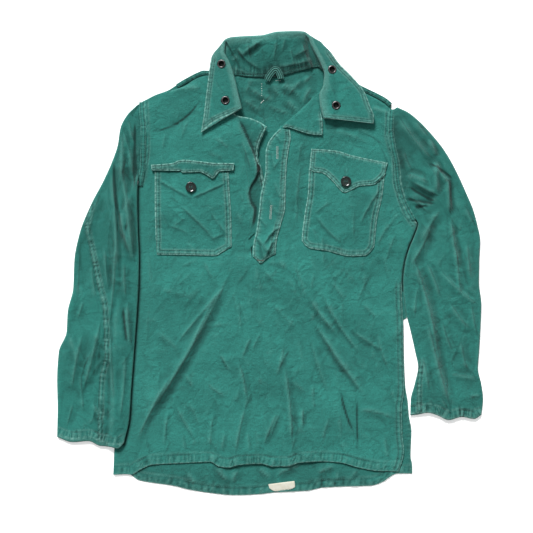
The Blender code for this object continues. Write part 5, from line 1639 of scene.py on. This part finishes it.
class ShirtSettings(bpy.types.PropertyGroup):
    """Colours and sizes of the shirt."""
    cloth_colour: colour_setting("Cloth", "Colour of the cotton cloth", (0.025, 0.215, 0.180))
    worn_colour: colour_setting(
        "Worn cloth", "Colour of seams and edges that washing has faded", (0.22, 0.48, 0.42))
    # Colour painted in as shade in hollows, creases and under pieces, partly dye that stayed there,
    # and as the cloth's darker tone.
    shade_and_tone_colour: colour_setting(
        "Deep cloth", "Colour of folds that kept their dye", (0.004, 0.045, 0.038))
    thread_colour: colour_setting("Thread", "Colour of the topstitching", (0.045, 0.235, 0.20))
    pale_thread_colour: colour_setting(
        "Pale thread", "Colour of the stitches inside the neck", (0.80, 0.90, 0.85))
    tack_colour: colour_setting(
        "Bar tack", "Colour of the bar tack at the placket's end", (0.16, 0.10, 0.08))
    buttonhole_colour: colour_setting(
        "Buttonhole", "Colour of the buttonhole thread", (0.40, 0.52, 0.48))
    button_colour: colour_setting("Button", "Colour of the buttons", (0.002, 0.006, 0.005))
    metal_colour: colour_setting("Eyelets", "Colour of the metal eyelets", (0.16, 0.16, 0.16))
    label_colour: colour_setting("Label", "Colour of the blank label", (0.72, 0.71, 0.62))
    cloth_wall: length_setting(
        "Cloth", "Thickness of one piece of cloth with its turnings", 0.0008, 0.002, WALL * MM)
    stitch_length: length_setting("Stitch", "Length of one stitch", 0.001, 0.006, 0.0023)
    stitch_pitch: length_setting(
        "Stitch pitch", "From one stitch to the next", 0.0015, 0.008, 0.0033)


class StageSettings(bpy.types.PropertyGroup):
    """Floor, lights and camera."""
    floor_colour: colour_setting("Floor", "Colour of the floor", (0.9, 0.9, 0.9))
    floor_glow: strength_setting(
        "Floor light", "Light that the floor gives off, as a lit table does", 2, 0.4)
    camera_height: length_setting(
        "Camera height", "Height of the camera over the surface", 1, 10, 2.6)
    view_width: length_setting(
        "View", "Width of the surface that the camera sees", 0.5, 3, 0.9594)
    key_strength: strength_setting(
        "Key light", "Strength of the soft light from beyond the collar", 20, 5.2)
    fill_strength: strength_setting(
        "Fill light", "Strength of the soft light overhead", 20, 0.4)
    room: strength_setting("Room", "Brightness of the light from all round", 2, 0.21)


# ---------------------------------------------------------------- operators


def declare(node_name):
    """Hide the CAD part that a cloth piece stands for, if it names one."""
    if node_name:
        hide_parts(node_name)


class PieceOperator:
    """What the operators for the shirt's pieces share. Each makes its own pieces in build."""
    bl_options = {'REGISTER', 'UNDO'}

    @property
    def shirt(self):
        return bpy.context.scene.shirt_settings

    def execute(self, context):
        make_materials()
        self.build()
        return {'FINISHED'}

    def topstitch(self, piece, seams, **options):
        """Stitch rows along seams, named after the piece."""
        name = piece.name.rsplit("_", 1)[0] + "_stitches"
        return sew(name, piece, seams, length=self.shirt.stitch_length / MM,
                   pitch=self.shirt.stitch_pitch / MM, **options)

    def lay(self, name, edges, side, raise_by, seams, flat, area, below="front_cloth", **options):
        """Lay a panel on the front, hide its CAD part and stitch its seams."""
        panel = laid_panel(name + "_cloth", edges, side, raise_by, seams, **options)
        declare(name)
        self.topstitch(panel, seams)
        return panel


class SHIRT_OT_back(PieceOperator, bpy.types.Operator):
    """Lay the back flat, with its hem and the stitching at the neck and hem"""
    bl_idname = "shirt.back"
    bl_label = "Back"

    def build(self):
        back = cloth("back_cloth", [back_patch(140, 200)], wall=self.shirt.cloth_wall / MM)
        declare("back")
        self.topstitch(back, BACK_SEAMS)
        for number, (x0, y0, x1, y1, length, pitch) in enumerate(THREAD_MARKS):
            sew(f"neck_marks_{number}", back, (), [[(x0, y0), (x1, y1)]], length, pitch, 1.3,
                material_name="pale thread")


class SHIRT_OT_front(PieceOperator, bpy.types.Operator):
    """Lay the front over the back, slit from the neck to the placket's end"""
    bl_idname = "shirt.front"
    bl_label = "Front"

    def build(self):
        patches = [front_patch("left", 104, 208), front_patch("right", 108, 208)]
        front = cloth("front_cloth", patches, wall=self.shirt.cloth_wall / MM)
        declare("front")
        self.topstitch(front, FRONT_SEAMS)


class SHIRT_OT_sleeves(PieceOperator, bpy.types.Operator):
    """Make both sleeves as flattened tubes with their long seams and plain hems"""
    bl_idname = "shirt.sleeves"
    bl_label = "Sleeves"

    def build(self):
        for sleeve in SLEEVES:
            piece = cloth(f"{sleeve.name}_cloth", [sleeve_patch(sleeve, 128, 212)],
                          wall=self.shirt.cloth_wall / MM, along_normal=True)
            declare(sleeve.name)
            self.topstitch(piece, sleeve.seams)


class SHIRT_OT_placket(PieceOperator, bpy.types.Operator):
    """Lay both placket bands and the turned corner over the slit, with buttonholes"""
    bl_idname = "shirt.placket"
    bl_label = "Placket"

    def build(self):
        # The under band gets painted shade, as it lies under the loose fold.
        self.lay("placket_under", PLACKET_UNDER, "left", plies(1), PLACKET_UNDER_SEAMS,
                 (0.05, 0.2), 0.0058, seed=71, shade=0.12)
        over = self.lay("placket_over", PLACKET_OVER, "right", placket_raise, PLACKET_OVER_SEAMS,
                        (0.045, 0.26), 0.0104, creases=PLACKET_CREASES, seed=72)
        for number, (x0, y0, x1, y1, width) in enumerate(BUTTONHOLES):
            sides = [[(x + beside, y) for x, y in ((x0, y0), (x1, y1))] for beside in (-1.1, 1.1)]
            sew(f"buttonhole_{number}", over, (), sides, width * 0.6, 1.05, 0.9, across=True,
                material_name="buttonhole thread")
        sew("placket_tack", over, (), [PLACKET_TACK], 2.6, 0.9, 0.8, across=True,
            material_name="tack thread")
        self.lay("lapel", LAPEL, "right", plies(2, 0.6), [LAPEL_SEAM], (0.08, 0.07), 0.0034,
                 step=1.7, seed=73)


class SHIRT_OT_pockets(PieceOperator, bpy.types.Operator):
    """Lay both patch pockets and their flaps on the front"""
    bl_idname = "shirt.pockets"
    bl_label = "Pockets"

    def build(self):
        for side, edges, seam, seed in (("left", POCKET_LEFT, POCKET_SEAMS[0], 81),
                                        ("right", POCKET_RIGHT, POCKET_SEAMS[1], 82)):
            self.lay(f"pocket_{side}", edges, side, plies(1), [seam], (0.14, 0.155), 0.0197,
                     creases=POCKET_CREASES, seed=seed)
        # The folded-up left flap gets painted shade.
        for side, edges, seams, area, wall, shade, seed in (
                ("left", FLAP_LEFT, FLAP_LEFT_SEAMS, 0.0034, 2 * WALL, 0.3, 83),
                ("right", FLAP_RIGHT, FLAP_RIGHT_SEAMS, 0.0066, WALL, 0.0, 84)):
            self.lay(f"flap_{side}", edges, side, plies(2), seams, (0.145, 0.075), area,
                     below=f"pocket_{side}_cloth", creases=FLAP_CREASES, wall=wall, step=1.6,
                     seed=seed, shade=shade)


class SHIRT_OT_shoulders(PieceOperator, bpy.types.Operator):
    """Make the felled seams of the shoulders, behind the front's rolled edge, and the armholes"""
    bl_idname = "shirt.shoulders"
    bl_label = "Shoulder seams"

    def build(self):
        for side, points in (("left", SHOULDER_LEFT), ("right", SHOULDER_RIGHT)):
            strip = cloth(f"shoulder_{side}_cloth", [strip_patch(points, 7.5, 4.4, 0.5)], wall=2.5)
            declare(f"shoulder_{side}")
            self.topstitch(strip, (), lines=[points], width=0.7)
        for side, points, length, seed in (("left", ARMHOLE_LEFT, 0.16, 33),
                                           ("right", ARMHOLE_RIGHT, 0.21, 34)):
            seam = cloth(f"armhole_{side}_seam", [strip_patch(points, ARMHOLE_WIDTH, 0, 0.5, seed)],
                         wall=1.3)
            declare(None)
            path = [point[:2] for point in points]
            rows = [Seam(path, (-2.4, 2.4), (0, 0), 0, 0, 0, 1, 1, 0, 0, seed)]
            self.topstitch(seam, rows)


class SHIRT_OT_collar(PieceOperator, bpy.types.Operator):
    """Make the collar: its stand behind the neck and its two turned-down leaves"""
    bl_idname = "shirt.collar"
    bl_label = "Collar"

    def build(self):
        holes = [(leaf_seat(x, y)[0], EYELET_CUT) for _, x, y in EYELETS]
        collar = cloth("collar_cloth", [collar_patch(300)], wall=COLLAR_WALL, along_normal=True,
                       holes=holes)
        declare("collar")
        self.topstitch(collar, LEAF_SEAMS + [STAND_SEAM])


class SHIRT_OT_eyelets(PieceOperator, bpy.types.Operator):
    """Turn the four metal eyelets in the collar's leaves"""
    bl_idname = "shirt.eyelets"
    bl_label = "Eyelets"

    def build(self):
        flange, hole, above = 7.8, 4.6, 1.3
        profile = [(hole, above - 0.2), (hole + 0.15, above + 0.45), (hole + 0.7, above + 0.95),
                   (hole + 1.5, above + 1.1), (hole + 2.4, above + 0.85),
                   (flange - 0.2, above + 0.25), (flange, above),
                   (flange - 0.4, above - 0.25), (hole + 0.7, above - 0.3),
                   (hole + 0.7, -1.3), (flange - 1.6, -1.4), (flange - 1.9, -1.8),
                   (hole + 0.6, -1.9), (hole + 0.5, -3.4), (hole, -3.4)]
        for name, x, y in EYELETS:
            point, normal = leaf_seat(x, y)
            ring = turned_profile(profile, 40)
            stand_on(ring, point, normal)
            eyelet = finished(name + "_ring", ring, "eyelet steel")
            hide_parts(name)
            # A near-black disc under the hole: painted shade seen through the eyelet.
            under = cloth(name + "_under", [disc_patch(point, normal, 5.0, -2.2)], wall=0.8,
                          material_name="shadowed cloth")


class SHIRT_OT_buttons(PieceOperator, bpy.types.Operator):
    """Turn the three buttons with four holes each, and sew them on"""
    bl_idname = "shirt.buttons"
    bl_label = "Buttons"

    def build(self):
        radius, top = 9.5, 3.2
        profile = [(0, 0), (radius - 2.5, 0), (radius - 1.2, 0.35), (radius - 0.3, 1.1),
                   (radius, 1.8), (radius - 0.15, 2.5), (radius - 0.7, 3.05), (radius - 1.4, top),
                   (radius - 2.2, 3.0), (radius - 3.0, 2.5), (radius - 3.8, 2.25), (0, 2.2)]
        for name, x, y, seat_x, side, count in BUTTONS:
            height, _ = front_top(np.array([float(seat_x)]), np.array([float(y)]), side)
            loose = 0.7 if seat_x == x else 0.0
            place = Vector((x, y, float(height[0]) + count * LAYER + loose))
            bm = turned_profile(profile, 48, closed=False)
            stand_on(bm, place, Vector((0, 0, 1)))
            button = finished(name + "_disc", bm, "dark button")
            pierce(button, place)
            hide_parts(name)
            bm = bmesh.new()
            for offset in (-BUTTON_HOLES, BUTTON_HOLES):
                turn = Matrix.Diagonal((0.4, 2.3, 0.4, 1.0))
                turn.translation = place + Vector((offset, 0, 2.35))
                bmesh.ops.create_icosphere(bm, subdivisions=2, radius=1.0, matrix=turn)
            thread = finished(name + "_thread", bm, "cotton thread")


class SHIRT_OT_hanger_loop(PieceOperator, bpy.types.Operator):
    """Bend the ribbed hanger tape into a loop at the neck seam"""
    bl_idname = "shirt.hanger_loop"
    bl_label = "Hanger loop"

    def build(self):
        loop = cloth("hanger_loop_tape", [loop_patch()], wall=1.4, material_name="ribbed tape")
        declare("hanger_loop")


class SHIRT_OT_label(PieceOperator, bpy.types.Operator):
    """Sew the blank label tape inside the back hem"""
    bl_idname = "shirt.label"
    bl_label = "Label"

    def build(self):
        label = cloth("label_tape", [label_patch(36, 14)], wall=LABEL_WALL,
                      material_name="pale label")
        declare("label")
        self.topstitch(label, (), lines=[LABEL["bottom"][1:-1]], material_name="pale thread")


VIEW_MIDDLE = (-0.0064, -0.0048, 0)     # what the camera looks at, metres


class SHIRT_OT_stage(bpy.types.Operator):
    """Set the pale floor, the soft lights and the camera over the shirt"""
    bl_idname = "shirt.stage"
    bl_label = "Stage"
    bl_options = {'REGISTER', 'UNDO'}

    def execute(self, context):
        stage = bpy.context.scene.stage_settings
        bm = bmesh.new()
        bmesh.ops.create_grid(bm, x_segments=1, y_segments=1, size=6.0)
        bmesh.ops.translate(bm, verts=bm.verts, vec=(0, 0, -0.0003))
        mesh = bpy.data.meshes.new("floor")
        bm.to_mesh(mesh)
        bm.free()
        floor = bpy.data.objects.new("floor", mesh)
        bpy.context.scene.collection.objects.link(floor)
        tree, shader = new_material("floor", 0.9, Emission_Color=(1, 1, 1, 1),
                                    Emission_Strength=stage.floor_glow)
        pale = tuple(stage.floor_colour)
        mottle = noise(tree, object_place(tree), 3.0, 2.0, 0.5, 0.2, 0.8)
        two_tone(tree, shader, mottle, toned(pale, 0.985), pale)
        mesh.materials.append(bpy.data.materials["floor"])

        middle = Vector(VIEW_MIDDLE)
        camera = bpy.data.cameras.new("camera")
        camera.sensor_width = 36.0
        camera.lens = camera.sensor_width * stage.camera_height / stage.view_width
        camera.clip_end = 50
        view = bpy.data.objects.new("camera", camera)
        view.location = middle + Vector((0, 0, stage.camera_height))
        bpy.context.scene.collection.objects.link(view)
        bpy.context.scene.camera = view

        for name, strength, spread, place in (
                ("key", stage.key_strength, 20, Vector((-0.8, 2.5, 1.9))),
                ("fill", stage.fill_strength, 70, Vector((0.2, 0.3, 3.0)))):
            light = bpy.data.lights.new(name, 'SUN')
            light.energy = strength
            light.angle = math.radians(spread)
            lamp = bpy.data.objects.new(name, light)
            lamp.location = place
            lamp.rotation_euler = (middle - place).to_track_quat('-Z', 'Y').to_euler()
            bpy.context.scene.collection.objects.link(lamp)

        world = bpy.data.worlds.new("room")
        world.use_nodes = True
        world.node_tree.nodes["Background"].inputs["Color"].default_value = (1, 1, 1, 1)
        world.node_tree.nodes["Background"].inputs["Strength"].default_value = stage.room
        bpy.context.scene.world = world
        bpy.context.scene.view_settings.view_transform = 'Standard'
        return {'FINISHED'}


# ---------------------------------------------------------------- panel and registration


class SHIRT_PT_panel(bpy.types.Panel):
    """Lists the pieces of the shirt and their settings"""
    bl_idname = "SHIRT_PT_panel"
    bl_label = "Field Shirt"
    bl_space_type = 'VIEW_3D'
    bl_region_type = 'UI'
    bl_category = "Shirt"

    def draw(self, context):
        for operator in OPERATORS:
            self.layout.operator(operator.bl_idname)
        for settings in (context.scene.shirt_settings, context.scene.stage_settings):
            column = self.layout.column()
            for name in settings.__annotations__:
                column.prop(settings, name)


OPERATORS = (SHIRT_OT_back, SHIRT_OT_front, SHIRT_OT_sleeves, SHIRT_OT_placket, SHIRT_OT_pockets,
             SHIRT_OT_shoulders, SHIRT_OT_collar, SHIRT_OT_eyelets, SHIRT_OT_buttons,
             SHIRT_OT_hanger_loop, SHIRT_OT_label, SHIRT_OT_stage)
CLASSES = (ShirtSettings, StageSettings, *OPERATORS, SHIRT_PT_panel)


def register():
    for item in CLASSES:
        bpy.utils.register_class(item)
    bpy.types.Scene.shirt_settings = bpy.props.PointerProperty(type=ShirtSettings)
    bpy.types.Scene.stage_settings = bpy.props.PointerProperty(type=StageSettings)


def unregister():
    del bpy.types.Scene.stage_settings
    del bpy.types.Scene.shirt_settings
    for item in reversed(CLASSES):
        bpy.utils.unregister_class(item)


def main():
    register()
    bpy.ops.shirt.back()
    bpy.ops.shirt.front()
    bpy.ops.shirt.sleeves()
    bpy.ops.shirt.placket()
    bpy.ops.shirt.pockets()
    bpy.ops.shirt.shoulders()
    bpy.ops.shirt.collar()
    bpy.ops.shirt.eyelets()
    bpy.ops.shirt.buttons()
    bpy.ops.shirt.hanger_loop()
    bpy.ops.shirt.label()
    bpy.ops.shirt.stage()
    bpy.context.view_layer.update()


if __name__ == "__main__":
    main()
